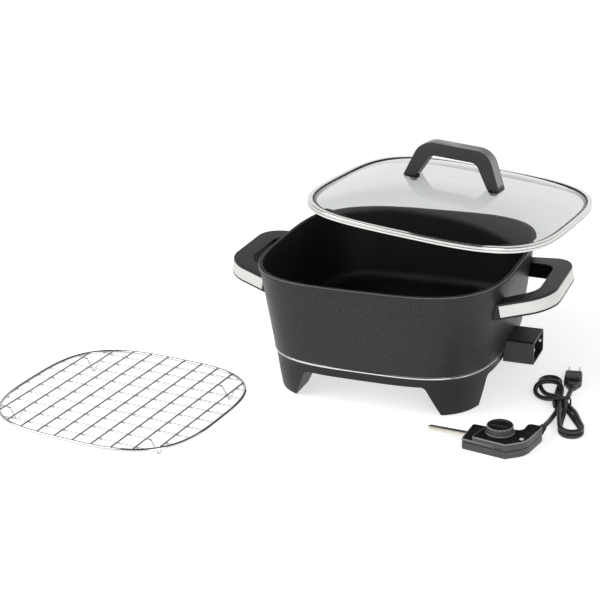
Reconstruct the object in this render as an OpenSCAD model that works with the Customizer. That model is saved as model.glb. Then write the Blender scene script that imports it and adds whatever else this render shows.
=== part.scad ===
// Electric skillet: a square cast pan on a black footed base, two side
// handles, a glass lid lifted off, a wire roasting rack and the plug-in
// heat control with its cord. Millimetres, +Z up. The origin is on the
// worktop under the middle of the pan; +X points to the control socket.

/* [Pan] */
// Half-width of the pan over its rim bead
pan_half = 152.4; // [145:0.2:162]
// Height of the rim above the worktop
rim_z = 155; // [130:1:180]
// Half-width of the pan wall at its foot
foot_half = 138.6; // [134:0.2:142]
// Height of the foot of the wall
foot_z = 51; // [49:0.5:56]
// Thickness of the pan wall
wall = 3.2; // [2.5:0.1:4]
// Thickness of the cooking floor
floor_t = 4.6; // [3.5:0.1:6]
// Squareness of the pan outline
square_n = 3.5; // [2.8:0.1:5]
// How far the rim bead stands out
bead = 1; // [0.5:0.1:2]

/* [Base] */
// Thickness of the bright trim ring
trim_t = 2; // [1.5:0.1:3]
// Depth of the skirt band under the trim
band_h = 11; // [8:0.5:13]
// How far the skirt band draws in below the trim
skirt_in = 2.2; // [0.6:0.1:4]
// How far the feet draw in at the worktop
feet_in = 9; // [5:0.2:14]
// Half-width of the front and back tunnels at the skirt band
tunnel_front = 76; // [66:1:80]
// Half-width of the front and back tunnels at the worktop
tunnel_front_low = 91; // [84:1:96]
// Half-width of the side tunnels at the skirt band
tunnel_side = 75; // [66:1:80]
// Half-width of the side tunnels at the worktop
tunnel_side_low = 82; // [78:1:92]
// Thickness of the base moulding
skirt_t = 3.5; // [2.5:0.1:4.5]

/* [Heating element] */
// Radius of the element sheath
sheath_r = 4.4; // [3.5:0.1:4.8]
// Half-width of the element loop
loop_half = 88; // [80:1:95]
// Radius of the terminal pins
pin_r = 2.6; // [2.2:0.1:2.8]
// Distance of each terminal pin from the middle
pin_y = 15.2; // [14.6:0.1:15.8]
// How far the terminal pins end inside the guard's mouth
pin_back = 1; // [0.5:0.1:6]

/* [Socket guard] */
// Half-width of the socket guard
guard_half = 24.1; // [23:0.1:27]
// Height of the guard's lower face
guard_low = 32.7; // [30:0.1:36]
// Height of the guard's upper face
guard_high = 61.4; // [60:0.1:66]
// How far the guard stands out from the foot of the pan
guard_out = 34.4; // [30:0.2:40]
// Wall thickness of the guard
guard_t = 2.5; // [1.8:0.1:3]

/* [Side handles] */
// Height of the handle's top face at the pan
handle_z = 130; // [118:1:136]
// Upward tilt of the handles
handle_tilt = 10; // [4:0.5:16]
// Depth of the handle moulding
handle_h = 19; // [16:0.5:22]
// How far the handles stand out past the rim
handle_out = 50.4; // [44:0.2:60]
// Width of the grip bar
grip_w = 20.2; // [16:0.2:24]
// Height of the steel inlay
inlay_h = 14.2; // [8:0.2:15]

/* [Lid] */
// Half-width of the lid over its steel band
lid_half = 156; // [154:0.2:166]
// Height of the steel band
lid_band = 7; // [6:0.2:9]
// Rise of the glass above the band
dome = 24.7; // [14:0.1:32]
// Thickness of the lid glass
glass_t = 4; // [3:0.1:4.2]
// Height of the lid handle above the glass
knob_h = 43; // [34:0.5:52]
// Width of the lid handle from face to face
knob_w = 22; // [16:0.5:28]
// How far the lid has been lifted and swung off its seat
lid_swing = 7.4; // [0:0.1:7.4]

/* [Rack] */
// Half-length of the rack
rack_half = 134; // [120:1:140]
// Half-depth of the rack
rack_depth = 116; // [104:1:120]
// Radius of the rack's rim wire
rim_wire = 2; // [1.6:0.1:2.4]
// Radius of the rack's inner wires
grid_wire = 1.2; // [1:0.1:1.5]
// Height of the rack's rim above the worktop
rack_z = 18; // [14:0.5:26]
// Spacing of the long wires
long_gap = 24.8; // [20:0.1:26]
// Spacing of the cross wires
cross_gap = 21.5; // [18:0.1:23]

/* [Heat control] */
// Height of the probe and contacts above the underside of the control
probe_z = 9; // [8.6:0.1:9.6]
// Radius of the probe rod
probe_r = 3.2; // [2.6:0.1:3.3]
// Bare length of the probe rod
probe_len = 46; // [40:0.5:49]
// Height of the nose of the housing
nose_h = 12.8; // [12.6:0.1:13.4]
// Height of the housing under the dial
housing_h = 17.8; // [17:0.1:19]
// Radius of the dial
dial_r = 14.8; // [12:0.1:16]
// Height of the dial above the housing
dial_h = 10; // [8:0.5:12]

/* [Cord] */
// Radius of the cord
cord_r = 2.75; // [2.25:0.05:2.8]
// Height of the tied hank
hank_h = 10.8; // [9:0.2:13]

/* [Hidden] */
$fn = 64;
M = 80;
CAST = [0.25, 0.26, 0.26];
BLACK = [0.07, 0.07, 0.075];
STEEL = [0.75, 0.74, 0.72];
CHROME = [0.85, 0.85, 0.86];
BRASS = [0.75, 0.6, 0.3];
CERAMIC = [0.9, 0.87, 0.8];
GLASS = [0.75, 0.82, 0.82, 0.35];
RUBBER = [0.12, 0.12, 0.13];

slope = (pan_half - bead - foot_half) / (rim_z - foot_z);
skirt_half = foot_half - skirt_in;
feet_half = foot_half - feet_in;
guard_end = foot_half + guard_out;
pin_end = guard_end - pin_back;
handle_reach = pan_half + handle_out;
port = pin_y + 5.8;
under_z = foot_z + 2.2;
pan_floor = under_z + floor_t;
skirt_top = foot_z - trim_t;
band_z = skirt_top - band_h;
el_z = under_z - sheath_r + 0.2;
gap = 0.1;

// Where the control lies, and where each cord end meets its piece
control_at = [174, -173, 0];
control_turn = -3.5;
plug_at = [216.6, -9.5, 0];
plug_turn = 9;
tie_at = [215, -55, 0];
tie_turn = 22;
lead_path = [[211, -130, 9], [212, -121, 8.5], [212, -112, 6.5], [212, -102, 4],
             [212, -92, 2.8], [213, -82, 2.8], [214, -72, 2.8]];
tail_path = [[217.8, -46, 3], [217.1, -36, 3], [217, -27, 3.4],
             [216.8, -17, 4.2], [216.3, -8.6, 4.5]];

// The lid lies off the pan: a turn about this line brings it to its seat
lid_axis = [-0.305, 0.626, -0.718];
lid_pivot = [575.5, -125, -198];

rack_at = [-266.5, -225.5, 0];
rack_turn = -5.6;
long_x = [for (i = [0 : 4]) long_gap * (i + 0.5)];
cross_y = [for (i = [0 : 4]) cross_gap * (i + 0.5)];
leg_x = 4 * long_gap;

// Squircle outline of half-widths a and b and squareness n
function squircle(a, b, n) = [for (i = [0 : M - 1])
    let (t = 360 * i / M,
         c = cos(t), s = sin(t),
         k = pow(pow(abs(c), n) + pow(abs(s), n), -1 / n))
    [a * k * c, b * k * s]];

// Outline of a belt stretched round circles [x, y, r] given anticlockwise
function belt_dir(p, q) = atan2(q[1] - p[1], q[0] - p[0])
    - acos((p[2] - q[2]) / norm([q[0] - p[0], q[1] - p[1]]));
function belt(c, g = 0, steps = 10) = [
    for (i = [0 : len(c) - 1])
        let (k = len(c), a = belt_dir(c[(i + k - 1) % k], c[i]),
             e = belt_dir(c[i], c[(i + 1) % k]),
             b = e - 360 * floor((e - a) / 360))
        for (j = [0 : steps])
            let (t = a + (b - a) * j / steps)
            [c[i][0] + (c[i][2] + g) * cos(t), c[i][1] + (c[i][2] + g) * sin(t)]];

// Triangles between ring j and ring k of a stack of rings of m points
function walls(j, k, m) = [for (i = [0 : m - 1]) each
    [[j * m + i, k * m + i, k * m + (i + 1) % m],
     [j * m + i, k * m + (i + 1) % m, j * m + (i + 1) % m]]];

// Solid bounded by squircle rings [half-width, height, squareness],
// closed by a flat at the first ring and a flat at the last
module skin(rings) {
    k = len(rings);
    pts = [for (r = rings) for (p = squircle(r[0], r[0], r[2])) [p[0], p[1], r[1]]];
    faces = concat(
        [[for (i = [0 : M - 1]) i]],
        [for (j = [0 : k - 2]) each walls(j, j + 1, M)],
        [[for (i = [M - 1 : -1 : 0]) (k - 1) * M + i]]);
    polyhedron(pts, faces, convexity = 8);
}

// Ring whose section is the closed polygon of [half-width, height] points
module hoop(section, n) {
    k = len(section);
    pts = [for (r = section) for (p = squircle(r[0], r[0], n)) [p[0], p[1], r[1]]];
    faces = [for (j = [0 : k - 1]) each walls(j, (j + 1) % k, M)];
    polyhedron(pts, faces, convexity = 8);
}

// Round hose of radius r through the points of a path
function unit(v) = v / norm(v);
module hose(path, r, sides = 10) {
    k = len(path);
    pts = [for (i = [0 : k - 1])
        let (t = unit(path[min(i + 1, k - 1)] - path[max(i - 1, 0)]),
             s = unit(cross([0, 0, 1], t)), u = cross(t, s))
        for (j = [0 : sides - 1])
            path[i] + r * cos(360 * j / sides) * s + r * sin(360 * j / sides) * u];
    faces = concat(
        [[for (j = [sides - 1 : -1 : 0]) j]],
        [for (j = [0 : k - 2]) for (i = [0 : sides - 1]) each
            [[j * sides + i, (j + 1) * sides + (i + 1) % sides, (j + 1) * sides + i],
             [j * sides + i, j * sides + (i + 1) % sides,
              (j + 1) * sides + (i + 1) % sides]]],
        [[for (j = [0 : sides - 1]) (k - 1) * sides + j]]);
    polyhedron(pts, faces, convexity = 8);
}

// Slab of a 2D shape between two heights
module slab(z0, z1) {
    translate([0, 0, z0]) linear_extrude(z1 - z0) children();
}

// Cylinder along +X, +Z or between heights
module bar_x(x0, x1, y, z, r) {
    translate([x0, y, z]) rotate([0, 90, 0]) cylinder(h = x1 - x0, r = r);
}
module bar_z(x, y, z0, z1, r) {
    translate([x, y, z0]) cylinder(h = z1 - z0, r = r);
}

// ---- Pan -----------------------------------------------------------------

function wall_half(z) = foot_half + (z - foot_z) * slope;

// Where the skirt screws stand
boss_xy = [for (sx = [-1, 1]) for (sy = [-1, 1]) [55 * sx, (foot_half - 20.6) * sy]];

module pan() {
    i0 = pan_floor;
    color(CAST)
    difference() {
        union() {
            skin([
                [foot_half - 8.4, under_z, square_n],
                [foot_half - 7.4, foot_z, square_n],
                [foot_half - 1.2, foot_z, square_n],
                [wall_half(foot_z + 1.2), foot_z + 1.2, square_n],
                [wall_half(rim_z - 4.4), rim_z - 4.4, square_n],
                [pan_half, rim_z - 3.4, square_n],
                [pan_half, rim_z - 0.8, square_n],
                [pan_half - 0.8, rim_z, square_n],
                [pan_half - bead - wall + 0.7, rim_z, square_n],
                [wall_half(rim_z - 0.9) - wall, rim_z - 0.9, square_n],
                [wall_half(i0 + 11) - wall, i0 + 11, square_n],
                [wall_half(i0 + 7) - wall - 1.2, i0 + 6.4, square_n],
                [wall_half(i0 + 3) - wall - 4, i0 + 2.9, square_n],
                [wall_half(i0) - wall - 8, i0 + 0.8, square_n],
                [wall_half(i0) - wall - 12.5, i0, square_n]]);
            for (p = boss_xy) bar_z(p[0], p[1], skirt_top - 5, under_z + 1, 6);
        }
        for (p = boss_xy) bar_z(p[0], p[1], skirt_top - 6, under_z + 1.4, 2.05);
        translate([foot_half - 10, -port, foot_z - 2])
            cube([14, 2 * port, under_z - foot_z + 2]);
    }
}

// ---- Base ----------------------------------------------------------------

// Arch-shaped tunnel through the base, along Y, widened by g
module tunnel(top, low, g) {
    r = 7;
    z = band_z + 1 - r;
    rotate([90, 0, 0]) linear_extrude(2 * foot_half + 40, center = true)
        polygon(belt([[-low - g - 0.5, -3, 0.5], [low + g + 0.5, -3, 0.5],
                      [top + g - r, z, r], [-top - g + r, z, r]]));
}
module tunnels(g) {
    tunnel(tunnel_front, tunnel_front_low, g);
    rotate([0, 0, 90]) tunnel(tunnel_side, tunnel_side_low, g);
}

// Four hollow legs, open at the top, under the corners of the skirt band
module base_legs() {
    mid = (skirt_half + feet_half) / 2 + 0.3;
    color(BLACK)
    difference() {
        skin([[feet_half - 1, 0, 3.9], [feet_half + 0.3, 1.2, 3.9],
              [mid, band_z / 2, 3.7], [skirt_half, band_z - 0.03, square_n]]);
        tunnels(0);
        difference() {
            skin([[feet_half - skirt_t, 3, 3.9], [mid - skirt_t, band_z / 2, 3.7],
                  [skirt_half - skirt_t, band_z, square_n],
                  [skirt_half - skirt_t, band_z + 2, square_n]]);
            tunnels(skirt_t);
        }
    }
}

module base_skirt() {
    top_half = foot_half - 0.3;
    color(BLACK)
    difference() {
        union() {
            hoop([[skirt_half - skirt_t, band_z], [skirt_half, band_z],
                  [top_half, skirt_top], [top_half - skirt_t, skirt_top]], square_n);
            for (p = boss_xy) lug(p);
        }
        for (p = boss_xy) bar_z(p[0], p[1], skirt_top - 10, skirt_top - 3, 2.3);
        // the terminals and the probe pass through here
        translate([foot_half - 12, -port, el_z - 5.5]) cube([20, 2 * port, 20]);
        for (y = [-8, 8]) bar_x(foot_half - 10, foot_half + 2, y, band_z + 2.2, 1.6);
    }
}
module lug(p) {
    s = p[1] > 0 ? 1 : -1;
    y = foot_half - 7.6;
    slab(skirt_top - 8, skirt_top - 5.1)
        polygon(belt(s > 0
            ? [[p[0], p[1], 6.5], [p[0] + 7, y, 1], [p[0] - 7, y, 1]]
            : [[p[0] - 7, -y, 1], [p[0] + 7, -y, 1], [p[0], p[1], 6.5]]));
}

module skirt_screws() {
    color(STEEL)
    for (p = boss_xy) {
        bar_z(p[0], p[1], skirt_top - 10.4, skirt_top - 8.1, 3.8);
        bar_z(p[0], p[1], skirt_top - 8.1, under_z, 2);
    }
}

module trim_ring() {
    color(CHROME)
    slab(skirt_top + 0.03, foot_z - 0.03)
        difference() {
            polygon(squircle(foot_half + 0.6, foot_half + 0.6, square_n));
            polygon(squircle(foot_half - 4.3, foot_half - 4.3, square_n));
            translate([foot_half - 10, -port]) square([20, 2 * port]);
        }
}

// ---- Heating element -------------------------------------------------------

module sheath_section() {
    intersection() {
        circle(r = sheath_r);
        translate([-6, -6]) square([12, 6 + sheath_r - 0.2]);
    }
}
module sheath_run(x, y, turn, len) {
    translate([x, y, el_z]) rotate([0, 0, turn]) rotate([90, 0, 90])
        linear_extrude(len) sheath_section();
}
module sheath_bend(x, y, turn, r) {
    translate([x, y, el_z]) rotate([0, 0, turn])
        rotate_extrude(angle = 90) translate([r, 0]) sheath_section();
}
module half_element() {
    b = 30;
    e = 10;
    c = loop_half - b;
    sheath_run(loop_half + e, pin_y, 0, foot_half - 6.6 - loop_half - e);
    sheath_bend(loop_half + e, pin_y + e, 180, e);
    sheath_run(loop_half, pin_y + e, 90, c - pin_y - e);
    sheath_bend(c, c, 0, b);
    sheath_run(-c, loop_half, 0, 2 * c);
    sheath_bend(-c, c, 90, b);
    sheath_run(-loop_half, 0, 90, c);
}
module heating_element() {
    color([0.35, 0.34, 0.33])
    difference() {
        union() {
            half_element();
            mirror([0, 1, 0]) half_element();
        }
        for (s = [-1, 1])
            bar_x(foot_half - 18.6, foot_half - 4.6, s * pin_y, el_z, pin_r - 0.15);
    }
}

module terminal_pins() {
    color(CHROME)
    for (s = [-1, 1]) {
        bar_x(foot_half - 18.4, foot_half + 8.6, s * pin_y, el_z, pin_r - 0.2);
        bar_x(foot_half + 8.6, pin_end - 1.6, s * pin_y, el_z, pin_r);
        translate([pin_end - 1.6, s * pin_y, el_z]) rotate([0, 90, 0])
            cylinder(h = 1.6, r1 = pin_r, r2 = pin_r - 1);
    }
}

module terminal_insulators() {
    color(CERAMIC)
    for (s = [-1, 1]) difference() {
        union() {
            bar_x(foot_half + 1, foot_half + 8.4, s * pin_y, el_z, pin_r + 1.6);
            bar_x(foot_half + 5.5, foot_half + 7, s * pin_y, el_z, pin_r + 3);
        }
        bar_x(foot_half, foot_half + 9.4, s * pin_y, el_z, pin_r - 0.1);
    }
}

module probe_well() {
    color(CAST)
    difference() {
        translate([foot_half - 52.6, -probe_r - 3.3, el_z - 5.6])
            cube([46, 2 * probe_r + 6.6, under_z - el_z + 5.6]);
        bar_x(foot_half - 46.6, foot_half - 4.6, 0, el_z, probe_r + 0.15);
        translate([foot_half - 8.2, 0, el_z]) rotate([0, 90, 0])
            cylinder(h = 2, r1 = probe_r + 0.15, r2 = probe_r + 1.2);
    }
}

// ---- Socket guard ----------------------------------------------------------

module guard_outline(g, r) {
    y = guard_half - g - r;
    z0 = guard_low + g + r;
    z1 = guard_high - g - r;
    polygon(belt([[-y, z0, r], [y, z0, r], [y, z1, r], [-y, z1, r]]));
}
module socket_guard() {
    color(BLACK)
    difference() {
        translate([foot_half - 13.6, 0, 0]) rotate([90, 0, 90])
            linear_extrude(guard_out + 13.6) guard_outline(0, 3);
        translate([foot_half + 5.4, 0, 0]) rotate([90, 0, 90]) linear_extrude(60)
            guard_outline(guard_t, 1.2);
        // the root lies against the skirt, the trim and the pan wall
        rotate([90, 0, 0]) translate([0, 0, -40]) linear_extrude(80)
            polygon([[foot_half - 28.6, 20], [skirt_half - 1, 20], [skirt_half + 0.1, band_z],
                     [foot_half - 0.2, skirt_top - 0.1], [foot_half + 0.7, skirt_top - 0.1],
                     [foot_half + 0.7, foot_z + 0.1], [foot_half + 0.1, foot_z + 0.1],
                     [wall_half(80) + 0.1, 80], [foot_half - 28.6, 80]]);
        for (s = [-1, 1]) bar_x(foot_half - 8, foot_half + 11, s * pin_y, el_z, pin_r + 1.7);
        bar_x(foot_half - 8, foot_half + 11, 0, el_z, probe_r + 1);
        for (y = [-8, 8]) bar_x(foot_half - 8, foot_half + 11, y, band_z + 2.2, 1.7);
    }
}
module guard_screws() {
    color(STEEL)
    for (y = [-8, 8]) {
        bar_x(foot_half + 5.45, foot_half + 7.1, y, band_z + 2.2, 2.6);
        bar_x(foot_half - 7.1, foot_half + 5.45, y, band_z + 2.2, 1.5);
    }
}

// ---- Side handles ----------------------------------------------------------

// Places a piece of the right handle, drawn level, at its tilt; the left
// handle is the right one turned half round
root_x = pan_half - 4.4;
module on_handle(side) {
    rotate([0, 0, side > 0 ? 0 : 180])
        translate([root_x, 0, handle_z]) rotate([0, -handle_tilt, 0])
            translate([-root_x, 0, 0]) children();
}
grip_out = [[root_x - 12, -77.7, 6], [handle_reach - 41.5, -31.7, 41.5],
            [handle_reach - 41.5, 31.7, 41.5], [root_x - 12, 77.7, 6]];
grip_in = [[root_x - 14, -59, 6], [handle_reach - grip_w - 22.7, -27, 22.7],
           [handle_reach - grip_w - 22.7, 27, 22.7], [root_x - 14, 59, 6]];
inlay_d = 1;
inlay_low = -handle_h / 2 - inlay_h / 2;
inlay_top = -handle_h / 2 + inlay_h / 2;
bracket_y = 66;

module grip_slab(z0, z1, g) {
    slab(z0, z1) difference() {
        polygon(belt(grip_out, -g, 16));
        polygon(belt(grip_in, g, 16));
    }
}
module pan_outside(g) {
    skin([[wall_half(90) + g, 90, square_n], [wall_half(rim_z) + g, rim_z, square_n]]);
}
module inlay_band(d0, d1, z0, z1, root) {
    slab(z0, z1) difference() {
        polygon(belt(grip_out, -d0, 16));
        polygon(belt(grip_out, -d1, 16));
        polygon(squircle(wall_half(handle_z) + root, wall_half(handle_z) + root, square_n));
    }
}
module handle(side) {
    difference() {
        on_handle(side) difference() {
            union() {
                grip_slab(-handle_h, -handle_h + 0.8, 0.8);
                grip_slab(-handle_h + 0.8, -0.8, 0);
                grip_slab(-0.8, 0, 0.8);
            }
            inlay_band(-3, inlay_d, inlay_low, inlay_top, 2.4);
            for (s = [-1, 1]) {
                translate([root_x - 18, s * bracket_y - 4.6, -11.1]) cube([36.4, 9.2, 3.2]);
                bar_z(root_x + 10, s * bracket_y, -handle_h - 1, -handle_h + 4, 3.7);
                bar_z(root_x + 10, s * bracket_y, -handle_h, -5.6, 2.2);
            }
        }
        rotate([0, 0, side > 0 ? 0 : 180]) pan_outside(0.15);
    }
}
module handle_right() {
    color(BLACK) handle(1);
}
module handle_left() {
    color(BLACK) handle(-1);
}
module inlay_right() {
    color(STEEL) on_handle(1)
        inlay_band(0.05, inlay_d - 0.05, inlay_low + 0.1, inlay_top - 0.1, 2.5);
}
module inlay_left() {
    color(STEEL) on_handle(-1)
        inlay_band(0.05, inlay_d - 0.05, inlay_low + 0.1, inlay_top - 0.1, 2.5);
}
module handle_brackets() {
    color(STEEL)
    difference() {
        for (side = [-1, 1]) on_handle(side) for (s = [-1, 1]) difference() {
            translate([root_x - 13, s * bracket_y - 4.5, -11]) cube([31, 9, 3]);
            bar_z(root_x + 10, s * bracket_y, -14, -6, 2.05);
        }
        pan_outside(0.02);
    }
}
module handle_screws() {
    color(STEEL)
    for (side = [-1, 1]) on_handle(side) for (s = [-1, 1]) {
        bar_z(root_x + 10, s * bracket_y, -handle_h + 1.6, -handle_h + 3.9, 3.5);
        bar_z(root_x + 10, s * bracket_y, -handle_h + 3.9, -6, 2);
    }
}

// ---- Lid -------------------------------------------------------------------

// Puts a piece drawn on its seat where the lid lies
module off_seat() {
    translate(lid_pivot) rotate(a = lid_swing, v = lid_axis)
        translate(-lid_pivot) children();
}
seat_z = rim_z + 0.3;
band_top = seat_z + lid_band;
lip_r = lid_half - 5.2;
edge_r = lid_half - 2.4;
edge_z = band_top - 1.5;
function dome_z(a) = edge_z + dome * (1 - pow(a / (lip_r - 0.6), 2.4));
function dome_n(a) = 2 + 1.54 * pow(min(a / lip_r, 1), 1.5);
crown_z = dome_z(0);
dome_a = [28, 56, 84, 110, 132, lip_r - 0.6];

module glass_skin() {
    skin(concat(
        [for (a = dome_a) [a, dome_z(a) - glass_t, dome_n(a)]],
        [[edge_r, edge_z - glass_t, 3.54], [edge_r, edge_z, 3.54]],
        [for (i = [len(dome_a) - 1 : -1 : 0]) [dome_a[i], dome_z(dome_a[i]), dome_n(dome_a[i])]]));
}
module lid_glass() {
    color(GLASS) off_seat() difference() {
        glass_skin();
        for (s = [-1, 1]) bar_z(52 * s, 0, crown_z - 20, crown_z + 10, 3.2);
    }
}
module lid_rim() {
    o = lid_half;
    g0 = edge_z - glass_t - 0.3;
    g1 = edge_z + 0.3;
    color(CHROME) off_seat()
        hoop([[o - 7, seat_z], [o - 0.5, seat_z], [o, seat_z + 0.6],
              [o, band_top - 0.6], [o - 0.6, band_top], [lip_r, band_top],
              [lip_r, g1], [edge_r + 0.4, g1], [edge_r + 0.4, g0], [o - 7, g0]], 3.54);
}

arch_top = crown_z + knob_h;
arch_out = [[-64.5, crown_z - 15, 3], [64.5, crown_z - 15, 3],
            [27, arch_top - 25, 25], [-27, arch_top - 25, 25]];
arch_in = [[-52.3, crown_z - 15, 2], [52.3, crown_z - 15, 2],
           [23.6, arch_top - 26.6, 11], [-23.6, arch_top - 26.6, 11]];
leg_cut = crown_z - 0.8;

// Slab of the arch between two planes across it
module arch_slab(y0, y1) {
    translate([0, y1, 0]) rotate([90, 0, 0]) linear_extrude(y1 - y0) children();
}
module arch_ring(y0, y1, g) {
    arch_slab(y0, y1) difference() {
        polygon(belt(arch_out, -g, 16));
        polygon(belt(arch_in, g, 16));
    }
}
module arch_band(y, d0, d1, low) {
    arch_slab(-y, y) difference() {
        polygon(belt(arch_out, -d0, 16));
        polygon(belt(arch_out, -d1, 16));
        translate([-90, crown_z - 40]) square([180, 40 + low]);
    }
}
module lid_handle() {
    h = knob_w / 2;
    color(BLACK) off_seat() difference() {
        union() {
            arch_ring(-h, -h + 0.8, 0.8);
            arch_ring(-h + 0.8, h - 0.8, 0);
            arch_ring(h - 0.8, h, 0.8);
        }
        arch_band(h - 2.4, -3, inlay_d, 2.6);
        translate([-90, -30, leg_cut - 40]) cube([180, 60, 40]);
        for (s = [-1, 1]) bar_z(52 * s, 0, leg_cut - 1, leg_cut + 13, 2.55);
    }
}
module lid_handle_inlay() {
    color(STEEL) off_seat()
        arch_band(knob_w / 2 - 2.5, 0.05, inlay_d - 0.05, 2.7);
}
module lid_gaskets() {
    h = knob_w / 2 - 0.4;
    color(RUBBER) off_seat() difference() {
        union() {
            difference() {
                arch_ring(-h, h, 0.4);
                translate([-90, -30, leg_cut - 0.05]) cube([180, 60, 80]);
                translate([-90, -30, crown_z - 40]) cube([180, 60, 33]);
            }
            for (s = [-1, 1]) bar_z(52 * s, 0, crown_z - 8.4, crown_z - 5, 7);
        }
        glass_skin();
        for (s = [-1, 1]) bar_z(52 * s, 0, crown_z - 20, crown_z + 10, 2.6);
    }
}
module lid_washers() {
    color(STEEL) off_seat() for (s = [-1, 1]) difference() {
        bar_z(52 * s, 0, crown_z - 9.6, crown_z - 8.45, 6.5);
        bar_z(52 * s, 0, crown_z - 12, crown_z - 6, 2.6);
    }
}
module lid_screws() {
    color(STEEL) off_seat() for (s = [-1, 1]) {
        bar_z(52 * s, 0, crown_z - 12.2, crown_z - 9.65, 4.6);
        bar_z(52 * s, 0, crown_z - 9.65, leg_cut + 12.5, 2.5);
    }
}

// ---- Rack ------------------------------------------------------------------

module on_rack() {
    translate(rack_at) rotate([0, 0, rack_turn]) children();
}
rack_n = 3.2;
function rack_y(x) = rack_depth * pow(1 - pow(abs(x) / rack_half, rack_n), 1 / rack_n);
function rack_x(y) = rack_half * pow(1 - pow(abs(y) / rack_depth, rack_n), 1 / rack_n);
cross_z = rack_z - grid_wire;
long_z = rack_z + grid_wire;

module rack_rim() {
    sides = 8;
    loop = [for (p = squircle(rack_half, rack_depth, rack_n)) [p[0], p[1], rack_z]];
    pts = [for (i = [0 : M - 1])
        let (t = unit(loop[(i + 1) % M] - loop[(i + M - 1) % M]),
             s = cross([0, 0, 1], t))
        for (j = [0 : sides - 1])
            loop[i] + rim_wire * cos(360 * j / sides + 22.5) * s
                + [0, 0, rim_wire * sin(360 * j / sides + 22.5)]];
    faces = [for (j = [0 : M - 1]) for (i = [0 : sides - 1])
        let (a = j * sides, b = ((j + 1) % M) * sides, i2 = (i + 1) % sides) each
        [[a + i, b + i2, b + i], [a + i, a + i2, b + i2]]];
    color(CHROME) on_rack() polyhedron(pts, faces, convexity = 8);
}
module rack_long_wires() {
    color(CHROME) on_rack() for (x = long_x) for (s = [-1, 1])
        translate([s * x, rack_y(x), long_z]) rotate([90, 0, 0])
            cylinder(h = 2 * rack_y(x), r = grid_wire);
}
module rack_cross_wires() {
    color(CHROME) on_rack() for (i = [0, 1, 2, 4]) for (s = [-1, 1])
        bar_x(-rack_x(cross_y[i]), rack_x(cross_y[i]), s * cross_y[i], cross_z, grid_wire);
}
// Bends of one leg, a V with a round foot, centred at x
function leg_bends(x, y) = [for (p = [[-11, 0], [-9.4, -0.4], [-8.4, -1.6],
    [-2.2, -13.6], [-1.2, -15.1], [0, -15.6], [1.2, -15.1], [2.2, -13.6],
    [8.4, -1.6], [9.4, -0.4], [11, 0]])
    [x + p[0], y, cross_z + p[1] * (cross_z - grid_wire) / 15.6]];
module rack_leg_wires() {
    y = cross_y[3];
    x = rack_x(y);
    color(CHROME) on_rack() for (s = [-1, 1])
        hose(concat([[-x, s * y, cross_z]], leg_bends(-leg_x, s * y),
                    leg_bends(leg_x, s * y), [[x, s * y, cross_z]]), grid_wire, 8);
}

// ---- Heat control ----------------------------------------------------------

module on_control() {
    translate(control_at) rotate([0, 0, control_turn]) children();
}
post_xy = [[-29, -7.7], [-29, 7.7], [15, -15.5], [28, 13]];
split_z = probe_z;
shell = 2.2;

function arc(x, y, r, a, b, steps = 8) = [for (i = [0 : steps])
    let (t = a + (b - a) * i / steps) [x + r * cos(t), y + r * sin(t)]];

// Outline of the housing, or of its raised deck, drawn in by g
module plan(deck, g) {
    polygon(concat(
        deck ? arc(-22.9, -17.9, 2.5 - g, 165, 263.8) : arc(-34.6, -16.2, 3.4 - g, 180, 263.8),
        arc(13.4, -22.3, 2.5 - g, 263.8, 310),
        arc(9, 4, 25.5 - g, 310, 352, 12),
        arc(33.6, 28.5, 5 - g, 352, 450),
        arc(26.2, 28.5, 5 - g, 90, 176),
        arc(14.4, deck ? 21 : 24.2, 6.4 + g, -4, -93),
        deck ? arc(-17, 9.2, 2.5 - g, 87, 165) : arc(-34.6, 16.2, 3.4 - g, 87, 180)));
}
// Room inside the housing behind the solid nose
module room(z0, z1) {
    slab(z0, z1) difference() {
        plan(false, shell);
        translate([-60, -40]) square([44, 80]);
        translate([26, 24]) square([20, 20]);
    }
}
module passages() {
    bar_x(-45, -14, 0, probe_z, probe_r);
    for (s = [-1, 1]) bar_x(-45, -14, s * pin_y, probe_z, 3.15);
    translate([33.2, 26, probe_z]) rotate([-90, 0, -3.5]) cylinder(h = 12, r = 3.65);
}
module control_base() {
    color(BLACK) on_control() difference() {
        union() {
            difference() {
                union() {
                    slab(0, 0.6) plan(false, 0.6);
                    slab(0.6, split_z - 0.03) plan(false, 0);
                }
                room(shell, split_z + 1);
            }
            for (p = post_xy) bar_z(p[0], p[1], 1, split_z - 0.03, 3.6);
        }
        passages();
        for (p = post_xy) {
            bar_z(p[0], p[1], -1, 2.6, 2.9);
            bar_z(p[0], p[1], 0, 20, 1.65);
        }
        // grip grooves beside the front corner
        for (i = [0 : 3]) bar_z(11 - 2.6 * i, -25 + 0.28 * i, 2.4, 12, 0.9);
    }
}
module control_cover() {
    color(BLACK) on_control() difference() {
        union() {
            difference() {
                union() {
                    slab(split_z + 0.03, nose_h - 0.8) plan(false, 0);
                    slab(nose_h - 0.8, nose_h) plan(false, 0.8);
                    slab(split_z + 0.03, housing_h - 0.8) plan(true, 0);
                    slab(housing_h - 0.8, housing_h) plan(true, 0.8);
                }
                room(split_z - 1, nose_h - shell);
                slab(nose_h - shell - 0.1, housing_h - shell) intersection() {
                    plan(true, shell);
                    translate([-16, -40]) square([80, 80]);
                }
            }
            for (p = post_xy)
                bar_z(p[0], p[1], split_z + 0.03, (p[0] > 0 ? housing_h : nose_h) - 1.5, 3.6);
        }
        passages();
        for (p = post_xy) bar_z(p[0], p[1], split_z - 1, nose_h - 1.4, 1.3);
        bar_z(0, 0, 10, 30, 3.5);
        bar_z(26.4, -5.5, 10, 30, 2.6);
        for (i = [0 : 3]) bar_z(11 - 2.6 * i, -25 + 0.28 * i, 2.4, 12, 0.9);
    }
}
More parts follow.
